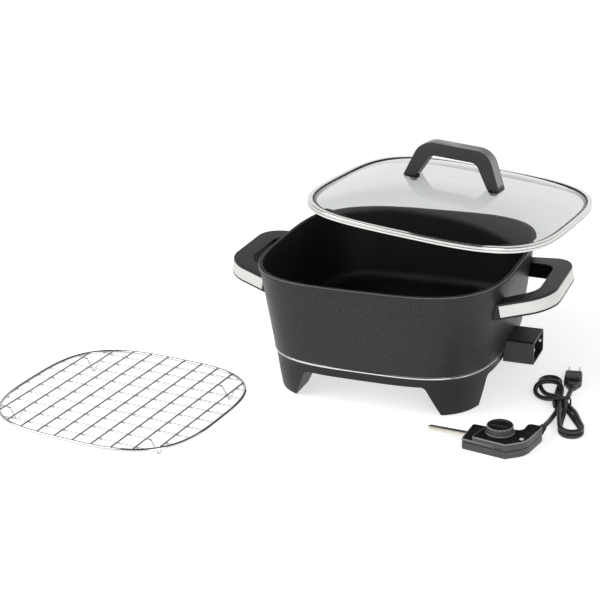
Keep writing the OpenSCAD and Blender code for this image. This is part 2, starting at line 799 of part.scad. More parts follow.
module housing_screws() {
    color(STEEL) on_control() for (p = post_xy) {
        bar_z(p[0], p[1], 0.8, 2.5, 2.7);
        bar_z(p[0], p[1], 2.5, nose_h - 1.9, 1.25);
    }
}
module probe_rod() {
    color([0.8, 0.78, 0.72]) on_control() {
        bar_x(-38 - probe_len + 3, -38.3, 0, probe_z, probe_r);
        bar_x(-38.3, -16, 0, probe_z, probe_r - 0.2);
        translate([-38 - probe_len + 3, 0, probe_z]) rotate([0, -90, 0])
            cylinder(h = 3, r1 = probe_r, r2 = probe_r - 1.7);
    }
}
module contact_sockets() {
    color(BRASS) on_control() for (s = [-1, 1]) difference() {
        bar_x(-37, -15, s * pin_y, probe_z, 3.1);
        bar_x(-38, -16.5, s * pin_y, probe_z, pin_r + 0.1);
    }
}
module thermostat_frame() {
    color(STEEL) on_control() difference() {
        union() {
            translate([-15.9, -5, probe_z - 1]) cube([1.4, 10, 3.6]);
            translate([-15.9, -5, probe_z - 1]) cube([22, 10, 1.2]);
        }
        bar_z(0, 0, 0, 30, 3.1);
        for (y = [-3.2, 3.2]) bar_z(-10, y, 0, 30, 0.8);
    }
}
module contact_leaf() {
    color(BRASS) on_control() for (s = [-1, 1]) {
        translate([-14.8, s * (pin_y - 0.6) - 1.6, probe_z - 4.2]) cube([14, 3.2, 0.5]);
        translate([-14.8, s * (pin_y - 0.6) - 1.6, probe_z - 4.2]) cube([0.5, 3.2, 6.4]);
    }
}
module ceramic_spacers() {
    color(CERAMIC) on_control() for (y = [-3.2, 3.2]) difference() {
        bar_z(-10, y, shell + 0.05, probe_z - 1.05, 2.6);
        bar_z(-10, y, 0, 20, 0.8);
    }
}
module indicator_lamp() {
    color([0.9, 0.35, 0.2]) on_control() bar_z(26.4, -5.5, 7, 13.5, 1.8);
}
module indicator_lens() {
    color([0.9, 0.9, 0.86]) on_control() {
        bar_z(26.4, -5.5, 13.6, housing_h, 2.5);
        translate([26.4, -5.5, housing_h]) cylinder(h = 0.7, r1 = 2.5, r2 = 1.8);
    }
}

// ---- Dial ------------------------------------------------------------------

dial_z = housing_h + 0.4;
module temperature_dial() {
    top = housing_h + dial_h;
    color(BLACK) on_control() difference() {
        union() {
            bar_z(0, 0, dial_z, dial_z + 2.4, dial_r + 1.2);
            bar_z(0, 0, dial_z + 2.4, dial_z + 3.2, dial_r - 0.6);
            bar_z(0, 0, dial_z + 3.2, top - 1.2, dial_r);
            translate([0, 0, top - 1.2]) cylinder(h = 1.2, r1 = dial_r, r2 = dial_r - 1.2);
        }
        // shallow dish with a grip bar left standing across it
        difference() {
            bar_z(0, 0, top - 1.6, top + 1, dial_r - 3);
            translate([-dial_r, -2, top - 3]) cube([2 * dial_r, 4, 6]);
        }
        bar_z(0, 0, dial_z - 1, top - 3, 2.95);
        for (i = [0 : 17]) rotate([0, 0, 20 * i])
            bar_z(dial_r + 0.35, 0, dial_z + 3.2, top + 1, 0.8);
    }
}
module dial_shaft() {
    color(STEEL) on_control() {
        bar_z(0, 0, probe_z - 3, housing_h + dial_h - 3.2, 2.9);
        bar_z(0, 0, probe_z + 0.35, probe_z + 1.4, 4.4);
    }
}

// ---- Cord ------------------------------------------------------------------

module strain_relief() {
    color(RUBBER) on_control() translate([33.2, 26.4, probe_z]) rotate([-90, 0, -3.5])
        difference() {
            union() {
                cylinder(h = 7.3, r = 3.6);
                translate([0, 0, 7.3]) cylinder(h = 2.2, r = 5);
                translate([0, 0, 9.5]) cylinder(h = 11.1, r = 3.9);
                translate([0, 0, 11.6]) cylinder(h = 1.6, r = 4.6);
                translate([0, 0, 15]) cylinder(h = 1.6, r = 4.4);
                translate([0, 0, 18.4]) cylinder(h = 1.6, r = 4.2);
            }
            translate([0, 0, 17]) cylinder(h = 6, r = cord_r + 0.05);
        }
}
module cord_lead() {
    color(RUBBER) hose(lead_path, cord_r);
}
hank_waist = [215, -55, 9];
hank_ends = [[240, -118, 15], [187.8, 3.5, 14.4], [188.6, -25, 14.6]];
module cord_hank() {
    color(RUBBER) slab(0.6, 0.6 + hank_h)
        for (e = hank_ends) polygon(belt([hank_waist, e], 0, 16));
}
module cord_tie() {
    color(RUBBER) translate(tie_at) rotate([90, 0, tie_turn]) linear_extrude(8, center = true)
        difference() {
            translate([-10.6, 0]) square([21.2, hank_h + 1.3]);
            translate([-9.9, 0.5]) square([19.8, hank_h + 0.2]);
        }
}
module cord_tail() {
    color(RUBBER) hose(tail_path, cord_r);
}
plug_in = [[0, 2, 4.4], [7.4, 13, 3], [7.4, 30, 3], [-7.4, 30, 3], [-7.4, 13, 3]];
module on_plug() {
    translate(plug_at) rotate([0, 0, plug_turn]) children();
}
module plug_body() {
    color(RUBBER) on_plug() difference() {
        union() {
            slab(0, 0.8) polygon(belt(plug_in, -0.8));
            slab(0.8, 8.4) polygon(belt(plug_in));
            slab(8.4, 9.2) polygon(belt(plug_in, -0.8));
            slab(9.2, 11.4) polygon(belt([[6.8, 15, 3], [6.8, 29.6, 3],
                                          [-6.8, 29.6, 3], [-6.8, 15, 3]]));
            slab(11.4, 12) polygon(belt([[6.8, 15, 3], [6.8, 29.6, 3],
                                         [-6.8, 29.6, 3], [-6.8, 15, 3]], -0.6));
        }
        translate([0, -4, 4.5]) rotate([-90, 0, 0]) cylinder(h = 6, r = cord_r + 0.05);
        for (s = [-1, 1]) translate([6.35 * s - 0.8, 26.9, 2.8]) cube([1.6, 10, 6.4]);
    }
}
module plug_blades() {
    color(BRASS) on_plug() for (s = [-1, 1]) translate([6.35 * s - 0.75, 27, 2.85])
        cube([1.5, 21.9, 6.3]);
}

pan();
heating_element();
terminal_pins();
terminal_insulators();
probe_well();
base_skirt();
base_legs();
skirt_screws();
trim_ring();
socket_guard();
guard_screws();
handle_left();
handle_right();
inlay_left();
inlay_right();
handle_brackets();
handle_screws();
lid_glass();
lid_rim();
lid_handle();
lid_handle_inlay();
lid_gaskets();
lid_washers();
lid_screws();
rack_rim();
rack_long_wires();
rack_cross_wires();
rack_leg_wires();
control_base();
control_cover();
housing_screws();
probe_rod();
contact_sockets();
thermostat_frame();
contact_leaf();
ceramic_spacers();
indicator_lamp();
indicator_lens();
temperature_dial();
dial_shaft();
strain_relief();
cord_lead();
cord_hank();
cord_tie();
cord_tail();
plug_body();
plug_blades();
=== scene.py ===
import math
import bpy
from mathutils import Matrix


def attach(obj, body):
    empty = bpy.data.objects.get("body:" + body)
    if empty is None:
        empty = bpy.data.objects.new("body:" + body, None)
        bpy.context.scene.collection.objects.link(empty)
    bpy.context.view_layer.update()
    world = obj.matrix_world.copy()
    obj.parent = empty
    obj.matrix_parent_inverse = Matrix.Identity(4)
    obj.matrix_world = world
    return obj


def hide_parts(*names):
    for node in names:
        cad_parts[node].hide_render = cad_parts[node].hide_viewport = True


bl_info = {
    "name": "Electric skillet",
    "version": (1, 0, 0),
    "blender": (4, 5, 0),
    "location": "View3D > Sidebar > Skillet",
    "description": "Dresses a square electric skillet, its lid, rack and heat control",
    "category": "Add Mesh",
}

import bmesh
import bpy
from mathutils import Matrix, Vector

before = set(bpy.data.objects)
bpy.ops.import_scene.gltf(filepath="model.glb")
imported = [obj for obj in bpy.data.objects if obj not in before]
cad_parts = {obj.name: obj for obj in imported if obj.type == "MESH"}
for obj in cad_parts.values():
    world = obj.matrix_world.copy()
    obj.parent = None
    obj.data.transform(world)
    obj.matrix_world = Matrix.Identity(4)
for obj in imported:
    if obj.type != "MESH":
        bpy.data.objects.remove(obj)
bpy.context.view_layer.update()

# All shapes are drawn in millimetres and turned to metres once, in piece().
# HALF stands for a half-width, and N for the squareness of an outline.
MM = 0.001
RIM_Z = 155.0
PAN_HALF = 152.4
FOOT_Z = 51.0
FOOT_HALF = 138.6
WALL = 3.2
WALL_SLOPE = (PAN_HALF - 1 - FOOT_HALF) / (RIM_Z - FOOT_Z)
PAN_N = 3.5
UNDER_Z = FOOT_Z + 2.2
PAN_FLOOR = UNDER_Z + 4.6
SKIRT_TOP = FOOT_Z - 2
BAND_Z = SKIRT_TOP - 11
SKIRT_HALF = FOOT_HALF - 2.2
FEET_HALF = FOOT_HALF - 9
TERMINAL_Z = 49.0
PORT = 21.0
GUARD_END = FOOT_HALF + 34.4
BOSSES = [(55 * sx, 118 * sy) for sx in (-1, 1) for sy in (-1, 1)]
# The two terminal pins, and the contact sockets that take them.
PIN_Y = 15.2
# The guard's screws, each with its y and z.
GUARD_SCREWS = [(y, BAND_Z + 2.2) for y in (-8, 8)]
# The tunnels through the base: half-width at the top and at the floor, and whether they run across.
TUNNELS = [(76, 91, False), (75, 82, True)]

ROOT_X = PAN_HALF - 4.4
HANDLE_Z = 130.0
HANDLE_H = 19.0
HANDLE_TILT = -10
HANDLE_SCREW = (ROOT_X + 10, 66)
GROOVE_HALF = 7.1
REACH = PAN_HALF + 50.4
# The belts that a side handle lies between: circles of x, y and radius.
GRIP_OUT = [
    (ROOT_X - 12, -77.7, 6), (REACH - 41.5, -31.7, 41.5), (REACH - 41.5, 31.7, 41.5), (ROOT_X - 12, 77.7, 6),
]
GRIP_IN = [
    (ROOT_X - 14, -57.2, 6), (REACH - 44.9, -27, 22.7), (REACH - 44.9, 27, 22.7), (ROOT_X - 14, 57.2, 6),
]

SEAT_Z = RIM_Z + 0.3
BAND_TOP = SEAT_Z + 7
EDGE_Z = BAND_TOP - 1.5
LID_HALF = 156.0
LID_LIP = LID_HALF - 5.2
DOME = 24.7
CROWN_Z = EDGE_Z + DOME
LID_N = 3.54
LID_SCREW_X = 52
ARCH_TOP = CROWN_Z + 43
# The belts that the lid's handle lies between: circles of x, z and radius.
ARCH_OUT = [
    (64.5, CROWN_Z - 15, 3), (27, ARCH_TOP - 25, 25), (-27, ARCH_TOP - 25, 25), (-64.5, CROWN_Z - 15, 3),
]
ARCH_IN = [
    (52.3, CROWN_Z - 15, 2), (23.6, ARCH_TOP - 26.6, 11),
    (-23.6, ARCH_TOP - 26.6, 11), (-52.3, CROWN_Z - 15, 2),
]

RACK_X, RACK_Y, RACK_N = 133.75, 115.75, 3.2
RACK_Z = 18.0
WIRE = 1.2
# Spacing of the wires that lie along y and along x, and where the leg wires are bent down.
PITCH_X, PITCH_Y, LEG_X = 24.8, 21.5, 99.2

NOSE_H = 12.8
HOUSING_H = 17.8
HOUSING_SEAM = 9.0
DIAL_Z = HOUSING_H + 0.4
DIAL_TOP = HOUSING_H + 10
DIAL_R = 14.8
# The cord's way out of the housing, turned a little to the right, and the two blades of the plug.
EXIT_X, EXIT_TURN = 33.2, -3.5
BLADE_X = 6.35

# The camera: its place and aim, its turns in degrees, and its focal length in widths of the picture.
CAMERA_EYE = (531.8, -1510.8, 734.8)
CAMERA_AIM = (-133.6, 0.0, 69.9)
CAMERA_AZIMUTH, CAMERA_ROLL = 23.77, -2.41
CAMERA_LENS = 1409.8 / 600


def turned(degrees, axis="Z"):
    return Matrix.Rotation(math.radians(degrees), 4, axis)


def lying(x, y, degrees):
    """Where a loose piece lies on the worktop."""
    return Matrix.Translation((x, y, 0)) @ turned(degrees)


# The lid is turned off its seat about a slanting axis outside the skillet.
LID_PIVOT, LID_AXIS = Vector((575.5, -125, -198)), Vector((-0.305, 0.626, -0.718))
LID_PLACE = Matrix.Translation(LID_PIVOT) @ turned(7.4, LID_AXIS) @ Matrix.Translation(-LID_PIVOT)
RACK_PLACE = lying(-266.5, -225.5, -5.6)
CONTROL_PLACE = lying(174, -173, -3.5)
PLUG_PLACE = lying(216.6, -9.5, 9)
TIE_PLACE = lying(215, -55, 22)
LEVEL = Matrix.Identity(4)
# A flat shape stood up: facing -Y, or facing +X.
UPRIGHT = turned(90, "X")
FACING_X = Matrix(((0, 0, 1, 0), (1, 0, 0, 0), (0, 1, 0, 0), (0, 0, 0, 1)))

# The cord from its strain relief, twice round the hank and out to the plug.
CORD_ROUTE = [
    (211, -130, 9), (211.7, -124.1, 8.8), (212, -118.1, 7.9), (212, -112.3, 6.6), (212, -106.5, 5.1),
    (212, -100.6, 3.8), (211.9, -94.7, 3), (212.3, -88.7, 2.8), (212.9, -82.8, 2.8), (213.4, -76.8, 2.8),
    (213.2, -70.8, 2.8), (212.1, -64.9, 3), (210.4, -59.2, 3.2), (208.2, -53.6, 2.9), (206.1, -48, 2.8),
    (204.7, -42.2, 2.8), (203.7, -36.3, 2.8), (202.9, -30.3, 2.8), (202.2, -24.3, 2.8), (201.7, -18.4, 2.8),
    (201.2, -12.4, 2.8), (200.5, -6.4, 2.8), (199.9, -0.5, 2.8), (199.1, 5.5, 2.8), (196.5, 10.8, 2.8),
    (191.7, 14.2, 2.9), (185.9, 14.7, 2.9), (180.6, 12.3, 2.9), (177.2, 7.6, 2.8), (176.2, 1.6, 2.8),
    (177.1, -4.3, 2.8), (178.4, -10.1, 2.8), (180.4, -15.8, 2.8), (182.8, -21.2, 2.8), (185.7, -26.5, 2.8),
    (189.1, -31.4, 3.4), (192.7, -36.1, 4.3), (196.6, -40.3, 5.8), (200.9, -44.2, 7.4), (205.8, -47.5, 8.4),
    (211.4, -49.8, 8.5), (216.3, -53.1, 8.3), (219.3, -58.1, 8.3), (220.6, -64, 8.3), (221.8, -69.8, 7.6),
    (222.8, -75.6, 6.6), (223.4, -81.4, 5.2), (223.7, -87.2, 3.8), (224, -93.2, 3.1), (224.5, -99.2, 2.9),
    (225.2, -105.1, 2.8), (226.2, -111, 2.8), (227.2, -116.9, 2.8), (229.1, -122.6, 2.8),
    (232.8, -127.2, 2.8), (238.2, -129.6, 2.8), (244, -129, 2.8), (248.9, -125.8, 2.8),
    (251.6, -120.6, 2.8), (251.6, -114.7, 2.8), (249.4, -109.1, 2.8), (246.2, -104, 2.8),
    (243.2, -98.9, 2.8), (240.1, -93.7, 2.8), (237, -88.6, 2.8), (233.9, -83.4, 2.8), (230.8, -78.3, 2.9),
    (227.6, -73.3, 2.9), (224.3, -68.3, 2.8), (220.8, -63.4, 2.8), (217.3, -58.5, 3.1), (214.2, -53.4, 3.1),
    (211.9, -47.9, 3.1), (210.4, -42.1, 2.9), (209.4, -36.2, 3.3), (208.7, -30.3, 4.4), (207.9, -24.7, 6.1),
    (206.4, -19, 7.5), (203.7, -13.8, 8.3), (199.3, -9.8, 8.4), (193.6, -8.4, 8.4), (187.8, -9.7, 8.4),
    (182.7, -12.7, 8.4), (178.7, -17.2, 7.9), (176.8, -22.5, 6.4), (177, -28.2, 4.6), (178.8, -33.8, 3.3),
    (182.1, -38.7, 2.8), (186.5, -42.7, 2.8), (191.4, -46.1, 3.5), (196.5, -49, 4.8), (201.6, -51.5, 6.7),
    (206.8, -53.7, 8.3), (211.7, -56.9, 8.4), (214.5, -61.9, 8.3), (215.4, -67.9, 8.3), (216.6, -73.8, 8.4),
    (217.8, -79.6, 8.4), (219, -85.5, 8.4), (220.3, -91.4, 8.4), (221.7, -97.2, 8.4), (223.2, -103, 8.4),
    (224.8, -108.8, 8.4), (226.2, -114.6, 8.4), (227.8, -120.4, 8.4), (230.8, -125.5, 8.4),
    (235.6, -129, 8.4), (241.4, -129.8, 8.4), (246.9, -127.7, 8.4), (250.7, -123.3, 8.4),
    (251.9, -117.5, 8.4), (250.7, -111.6, 8.4), (248, -106.3, 8.4), (245.2, -101, 8.3), (242.8, -95.5, 8.3),
    (240.5, -89.9, 8.2), (238.2, -84.4, 7.9), (235.8, -79, 7.4), (233.3, -73.6, 6.3), (230.6, -68.4, 5.1),
    (227.6, -63.3, 4), (224.3, -58.3, 3.4), (220.9, -53.4, 3.3), (218, -48.2, 3.2), (216.7, -42.5, 3),
    (217.1, -36.5, 2.9), (217.1, -30.5, 3), (216.9, -24.5, 3.5), (216.9, -18.6, 4.1), (216.7, -12.6, 4.5),
    (216.3, -8.6, 4.5),
]


# ---- Sizes and colours a user may change ------------------------------------


def linear(code):
    """sRGB hex to linear RGB."""
    channels = [int(code[i : i + 2], 16) / 255 for i in (1, 3, 5)]
    return tuple(c / 12.92 if c <= 0.04045 else ((c + 0.055) / 1.055) ** 2.4 for c in channels)


def colour(name, description, code):
    return bpy.props.FloatVectorProperty(
        name=name, description=description, subtype="COLOR", size=3, min=0, max=1, default=linear(code)
    )


def amount(name, description, low, high, default, **kind):
    return bpy.props.FloatProperty(
        name=name, description=description, min=low, max=high, default=default, **kind
    )


LENGTH = {"precision": 4, "subtype": "DISTANCE", "unit": "LENGTH"}
POWER = {"subtype": "POWER", "unit": "POWER"}


class SKILLET_PG_shape(bpy.types.PropertyGroup):
    outline_points: bpy.props.IntProperty(
        name="Outline points", description="Points round the pan and the lid", min=96, max=480, default=288
    )
    edge_round: amount("Edge rounding", "Rounding of the moulded edges", 0.0002, 0.002, 0.001, **LENGTH)
    cord_diameter: amount("Cord diameter", "Thickness of the supply cord", 0.0045, 0.0056, 0.0055, **LENGTH)
    grain: amount("Coat grain", "Size of the speckle in the pan's coat", 0.0003, 0.003, 0.0011, **LENGTH)


class SKILLET_PG_colours(bpy.types.PropertyGroup):
    coat: colour("Pan coat", "Coat on the pan's outer wall", "#2b2c2c")
    # Drawn darker than the outer coat, partly as painted shade inside the pan.
    inner_coat: colour("Inner coat", "Coat on the cooking surface", "#141516")
    # Painted highlight: the rim's rounded edge is drawn much paler than the coat.
    rim: colour("Rim edge", "Coat on the rounded edge of the rim", "#757876")
    moulding: colour("Base", "Moulding of the base and its legs", "#252628")
    grip: colour("Side handles", "Mouldings of the side handles", "#28292b")
    # The guard's sides are drawn lighter than the moulding: painted light.
    lid_grip: colour("Lid handle", "Moulding of the lid's handle", "#3c3d40")
    guard: colour("Guard", "Sides of the guard round the terminals", "#45464a")
    # The sides are a lighter copy of the black plastic: a painted reflection of the pale floor.
    control: colour("Heat control", "Sides of the housing and the dial", "#474948")
    control_top: colour("Heat control, top", "Polished faces of the housing and the dial", "#191a1a")
    # Painted highlight: the edges of the housing and the dial are drawn pale.
    control_edge: colour("Heat control, edges", "Painted highlight on the edges of the housing and the dial", "#8f9190")
    steel: colour("Polished steel", "Lid band and trim", "#dededb")
    wire: colour("Chromed wire", "Wires of the rack", "#d0d1cf")
    inlay: colour("Brushed steel", "Inlays in the side handles", "#d9d8d5")
    # A darker copy of the side inlays' brushed steel: painted shade.
    lid_inlay: colour("Brushed steel, lid", "Inlay in the lid's handle", "#929290")
    glass: colour("Glass", "Tint of the lid glass", "#d0d3d1")
    cord: colour("Cord", "Jacket of the cord and the plug", "#232526")


class SKILLET_PG_stage(bpy.types.PropertyGroup):
    key_power: amount("Key light", "Power of the large lamp at the left", 0, 60, 18, **POWER)
    fill_power: amount("Fill light", "Power of the lamp in front", 0, 40, 8, **POWER)
    floor_lift: amount("Floor lift", "Whiteness added to the floor as it is seen", 0, 1, 0.55)
    surround: amount("Surround", "Strength of the plain room light", 0, 1, 0.5)
    ceiling: amount("Ceiling", "Brightness of the dark room overhead in mirrors", 0, 1, 0.04)
    floor_tone: colour("Floor", "Colour of the floor under the object", "#f6f6f6")


# ---- Outlines ------------------------------------------------------------------


def squircle(a, b, n):
    """Outline of half-widths a and b and squareness n; n = 2 is an ellipse."""
    points = []
    count = bpy.context.scene.skillet_shape.outline_points
    for i in range(count):
        t = math.tau * i / count
        c, s = math.cos(t), math.sin(t)
        k = (abs(c) ** n + abs(s) ** n) ** (-1 / n)
        points.append((a * k * c, b * k * s))
    return points


def wall_half(z):
    return FOOT_HALF + (z - FOOT_Z) * WALL_SLOPE


def belt_arcs(circles, grow=0.0, steps=28):
    """A belt stretched round circles (x, y, r) given anticlockwise: one arc for each circle."""

    def heading(p, q):
        gap = math.hypot(q[0] - p[0], q[1] - p[1])
        return math.atan2(q[1] - p[1], q[0] - p[0]) - math.acos((p[2] - q[2]) / gap)

    arcs = []
    for i, (x, y, r) in enumerate(circles):
        start = heading(circles[i - 1], circles[i])
        turn = (heading(circles[i], circles[(i + 1) % len(circles)]) - start) % math.tau
        angles = [start + turn * j / steps for j in range(steps + 1)]
        arcs.append([(x + (r + grow) * math.cos(t), y + (r + grow) * math.sin(t)) for t in angles])
    return arcs


def belt(circles, grow=0.0, steps=28):
    return [p for arc in belt_arcs(circles, grow, steps) for p in arc]


def open_belt(circles, grow=0.0):
    """The belt from the first circle round the middle two to the last."""
    first, second, third, last = belt_arcs(circles, grow)
    return first[-1:] + second + third + last[:1]


def dense(path, step):
    """The same open path with points no further apart than step."""
    points = []
    for p, q in zip(path, path[1:]):
        p, q = Vector(p), Vector(q)
        count = max(1, math.ceil((q - p).length / step))
        points += [p.lerp(q, i / count) for i in range(count)]
    return points + [Vector(path[-1])]


def soften(path, times):
    """Cuts the corners of an open path, keeping its ends."""
    for _ in range(times):
        cut_path = [Vector(path[0])]
        for p, q in zip(path, path[1:]):
            cut_path += [Vector(p).lerp(Vector(q), 0.25), Vector(p).lerp(Vector(q), 0.75)]
        path = cut_path + [Vector(path[-1])]
    return path


def rounded(section, closed=False, steps=6):
    """Points (half-width, height, fillet radius) to plain points with each fillet drawn."""
    points = []
    count = len(section)
    for i, (x, z, r) in enumerate(section):
        here = Vector((x, z))
        if r <= 0 or (not closed and i in (0, count - 1)):
            points.append((x, z))
            continue
        back = Vector(section[i - 1][:2]) - here
        ahead = Vector(section[(i + 1) % count][:2]) - here
        half = back.angle(ahead) / 2
        reach = min(r / math.tan(half), 0.49 * back.length, 0.49 * ahead.length)
        p, q = here + back.normalized() * reach, here + ahead.normalized() * reach
        for j in range(steps + 1):
            t = j / steps
            points.append(tuple(p * (1 - t) ** 2 + here * 2 * t * (1 - t) + q * t**2))
    return points


def flowing(rings, steps=5):
    """Smooth in-between values through a list of equal-length tuples."""
    out = []
    for i in range(len(rings) - 1):
        p0, p1 = rings[max(i - 1, 0)], rings[i]
        p2, p3 = rings[i + 1], rings[min(i + 2, len(rings) - 1)]
        for j in range(steps):
            t = j / steps
            out.append(tuple(
                0.5 * (
                    2 * b + (c - a) * t + (2 * a - 5 * b + 4 * c - d) * t**2 + (3 * b - a - 3 * c + d) * t**3
                )
                for a, b, c, d in zip(p0, p1, p2, p3)
            ))
    return out + [tuple(rings[-1])]


# ---- Shapes: lists of points and faces, in millimetres ---------------------------


def skin(rings, closed=False):
    """Faces between rings of points; the ends are capped, unless closed joins the last ring to the first."""
    size = len(rings[0])
    points = [tuple(p) for ring in rings for p in ring]
    faces = []
    for j in range(len(rings) if closed else len(rings) - 1):
        k = (j + 1) % len(rings)
        for i in range(size):
            n = (i + 1) % size
            faces.append((j * size + i, j * size + n, k * size + n, k * size + i))
    if not closed:
        faces += [tuple(range(size))[::-1], tuple((len(rings) - 1) * size + i for i in range(size))]
    return points, faces


def loft(section, n=2.0, closed=False):
    """Squircle rings of half-width and height; a third value in a ring is its own squareness."""
    rings = []
    for ring in section:
        outline = squircle(ring[0], ring[0], ring[2] if len(ring) > 2 else n)
        rings.append([(x, y, ring[1]) for x, y in outline])
    return skin(rings, closed)


def prism(outline, low, high, matrix=LEVEL):
    rings = [[matrix @ Vector((x, y, z)) for x, y in outline] for z in (low, high)]
    return skin(rings)


def eased(outline, low, high, round_low, round_high):
    """A prism with its two rims rounded; outline(g) is the outline drawn in by g."""
    down, up = [(0, low)], [(0, high)]
    if round_low:
        down = [(round_low, low), (0.3 * round_low, low + 0.3 * round_low), (0, low + round_low)]
    if round_high:
        up = [(0, high - round_high), (0.3 * round_high, high - 0.3 * round_high), (round_high, high)]
    return skin([[(x, y, z) for x, y in outline(g)] for g, z in down + up])


def bar(outer, inner, low, high, matrix=LEVEL, ease=0.0):
    """A flat bar bent between two open paths that have equally many points, with its long edges rounded."""
    rings = []
    for a, b in zip(outer, inner):
        a, b = Vector(a), Vector(b)
        t = ease / (b - a).length
        edge = [(0, low), (0, high)]
        if ease:
            edge = [
                (t, low), (0.3 * t, low + 0.3 * ease), (0, low + ease),
                (0, high - ease), (0.3 * t, high - 0.3 * ease), (t, high),
            ]
        section = edge + [(1 - u, w) for u, w in reversed(edge)]
        rings.append([matrix @ Vector((*a.lerp(b, u), w)) for u, w in section])
    return skin(rings)


def block(low, high):
    (x0, y0, z0), (x1, y1, z1) = low, high
    return prism([(x0, y0), (x1, y0), (x1, y1), (x0, y1)], z0, z1)


def tube(path, radius, sides=16, closed=False, domed=False):
    """A round wire along a path, closed to a ring or with domed ends if asked."""
    path = [Vector(p) for p in path]
    radii = [radius] * len(path)
    if domed:
        start, end = (path[1] - path[0]).normalized(), (path[-1] - path[-2]).normalized()
        steps = [math.radians(a) for a in (8, 30, 55, 80)]
        head = [(path[0] - start * radius * math.cos(a), radius * math.sin(a)) for a in steps]
        tail = [(path[-1] + end * radius * math.cos(a), radius * math.sin(a)) for a in steps[::-1]]
        path = [p for p, _ in head] + path + [p for p, _ in tail]
        radii = [r for _, r in head] + radii + [r for _, r in tail]
    count = len(path)
    rings = []
    side = None
    for i, p in enumerate(path):
        before = path[i - 1] if closed or i else path[0]
        after = path[(i + 1) % count] if closed or i < count - 1 else path[-1]
        along = (after - before).normalized()
        if side is None:
            side = along.cross(Vector((0, 0, 1)))
            side = side.normalized() if side.length > 1e-4 else Vector((1, 0, 0))
        side = (side - along * side.dot(along)).normalized()
        up = along.cross(side)
        rings.append([
            p + radii[i] * (math.cos(math.tau * j / sides) * side + math.sin(math.tau * j / sides) * up)
            for j in range(sides)
        ])
    return skin(rings, closed)


def rod(start, end, radius, sides=48):
    return tube([start, end], radius, sides)


def stud(x, y, low, high, radius, sides=48):
    """A rod that stands along z."""
    return rod((x, y, low), (x, y, high), radius, sides)


def bolt(low, high, y, z, radius):
    """A rod that lies along x."""
    return rod((low, y, z), (high, y, z), radius)


def moved(shape, matrix):
    return [matrix @ Vector(p) for p in shape[0]], shape[1]


def together(*shapes):
    points, faces = [], []
    for shape_points, shape_faces in shapes:
        base = len(points)
        points += [tuple(p) for p in shape_points]
        faces += [tuple(i + base for i in face) for face in shape_faces]
    return points, faces


# ---- Objects ---------------------------------------------------------------------


WELD_GAP = 0.002


def placed(name, data):
    """A new object in the scene."""
    made = bpy.data.objects.new(name, data)
    bpy.context.scene.collection.objects.link(made)
    return made


def solid(name, shape):
    """A working object, still in millimetres."""
    mesh = bpy.data.meshes.new(name)
    mesh.from_pydata(shape[0], [], shape[1])
    weld(mesh, WELD_GAP)
    return placed(name, mesh)


def weld(mesh, gap):
    """Merges points closer than gap and turns every face outwards."""
    work = bmesh.new()
    work.from_mesh(mesh)
    bmesh.ops.remove_doubles(work, verts=work.verts, dist=gap)
    bmesh.ops.dissolve_degenerate(work, edges=work.edges, dist=gap)
    bmesh.ops.recalc_face_normals(work, faces=work.faces)
    work.to_mesh(mesh)
    work.free()


def settle(made, kind, **settings):
    """Adds one modifier and makes its result the mesh."""
    modifier = made.modifiers.new(kind.title(), kind)
    for name, value in settings.items():
        setattr(modifier, name, value)
    mesh = bpy.data.meshes.new_from_object(made.evaluated_get(bpy.context.evaluated_depsgraph_get()))
    made.modifiers.clear()
    old, made.data = made.data, mesh
    bpy.data.meshes.remove(old)
    if kind == "BOOLEAN":
        weld(mesh, WELD_GAP)
    if not mesh.polygons:
        raise RuntimeError(f"{made.name} came out empty from {kind}")


def combine(made, operation, *tools):
    """Joins or cuts with shapes, or with other working objects, which are kept."""
    for tool in tools:
        kept = isinstance(tool, bpy.types.Object)
        other = tool if kept else solid("tool", tool)
        settle(made, "BOOLEAN", object=other, operation=operation, solver="EXACT")
        if not kept:
            discard(other)


def cut(made, *tools):
    combine(made, "DIFFERENCE", *tools)


def discard(*tools):
    for tool in tools:
        bpy.data.objects.remove(tool)


def join(name, parts):
    """Several working objects as one."""
    meshes = [part.data for part in parts]
    shapes = [([v.co[:] for v in mesh.vertices], [f.vertices[:] for f in mesh.polygons]) for mesh in meshes]
    discard(*parts)
    return solid(name, together(*shapes))


def soften_edges(made, share=1.0, angle=38):
    """Rounds the moulded edges; share is a part of the general edge rounding."""
    width = bpy.context.scene.skillet_shape.edge_round / MM * share
    settle(made, "BEVEL", width=width, segments=3, limit_method="ANGLE", angle_limit=math.radians(angle))


def piece(made, body, nodes, finishes, rule=None, sharp=32):
    """Turns a working object into a finished piece that stands for CAD nodes and rides on their body."""
    mesh = made.data
    mesh.transform(Matrix.Scale(MM, 4))
    mesh.materials.clear()
    for name in finishes:
        mesh.materials.append(finish(name))
    for face in mesh.polygons:
        face.use_smooth = True
        face.material_index = rule(face.center / MM, face.normal) if rule else 0
    mesh.set_sharp_from_angle(angle=math.radians(sharp))
    mesh.name = made.name
    weighted = made.modifiers.new("Weighted normals", "WEIGHTED_NORMAL")
    weighted.keep_sharp = True
    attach(made, body)
    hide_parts(*nodes)
    return made


def dress(name, *nodes):
    """Gives CAD nodes that are shown as they are their finish."""
    for node in nodes:
        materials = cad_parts[node].data.materials
        materials.clear()
        materials.append(finish(name))


# ---- Materials --------------------------------------------------------------------


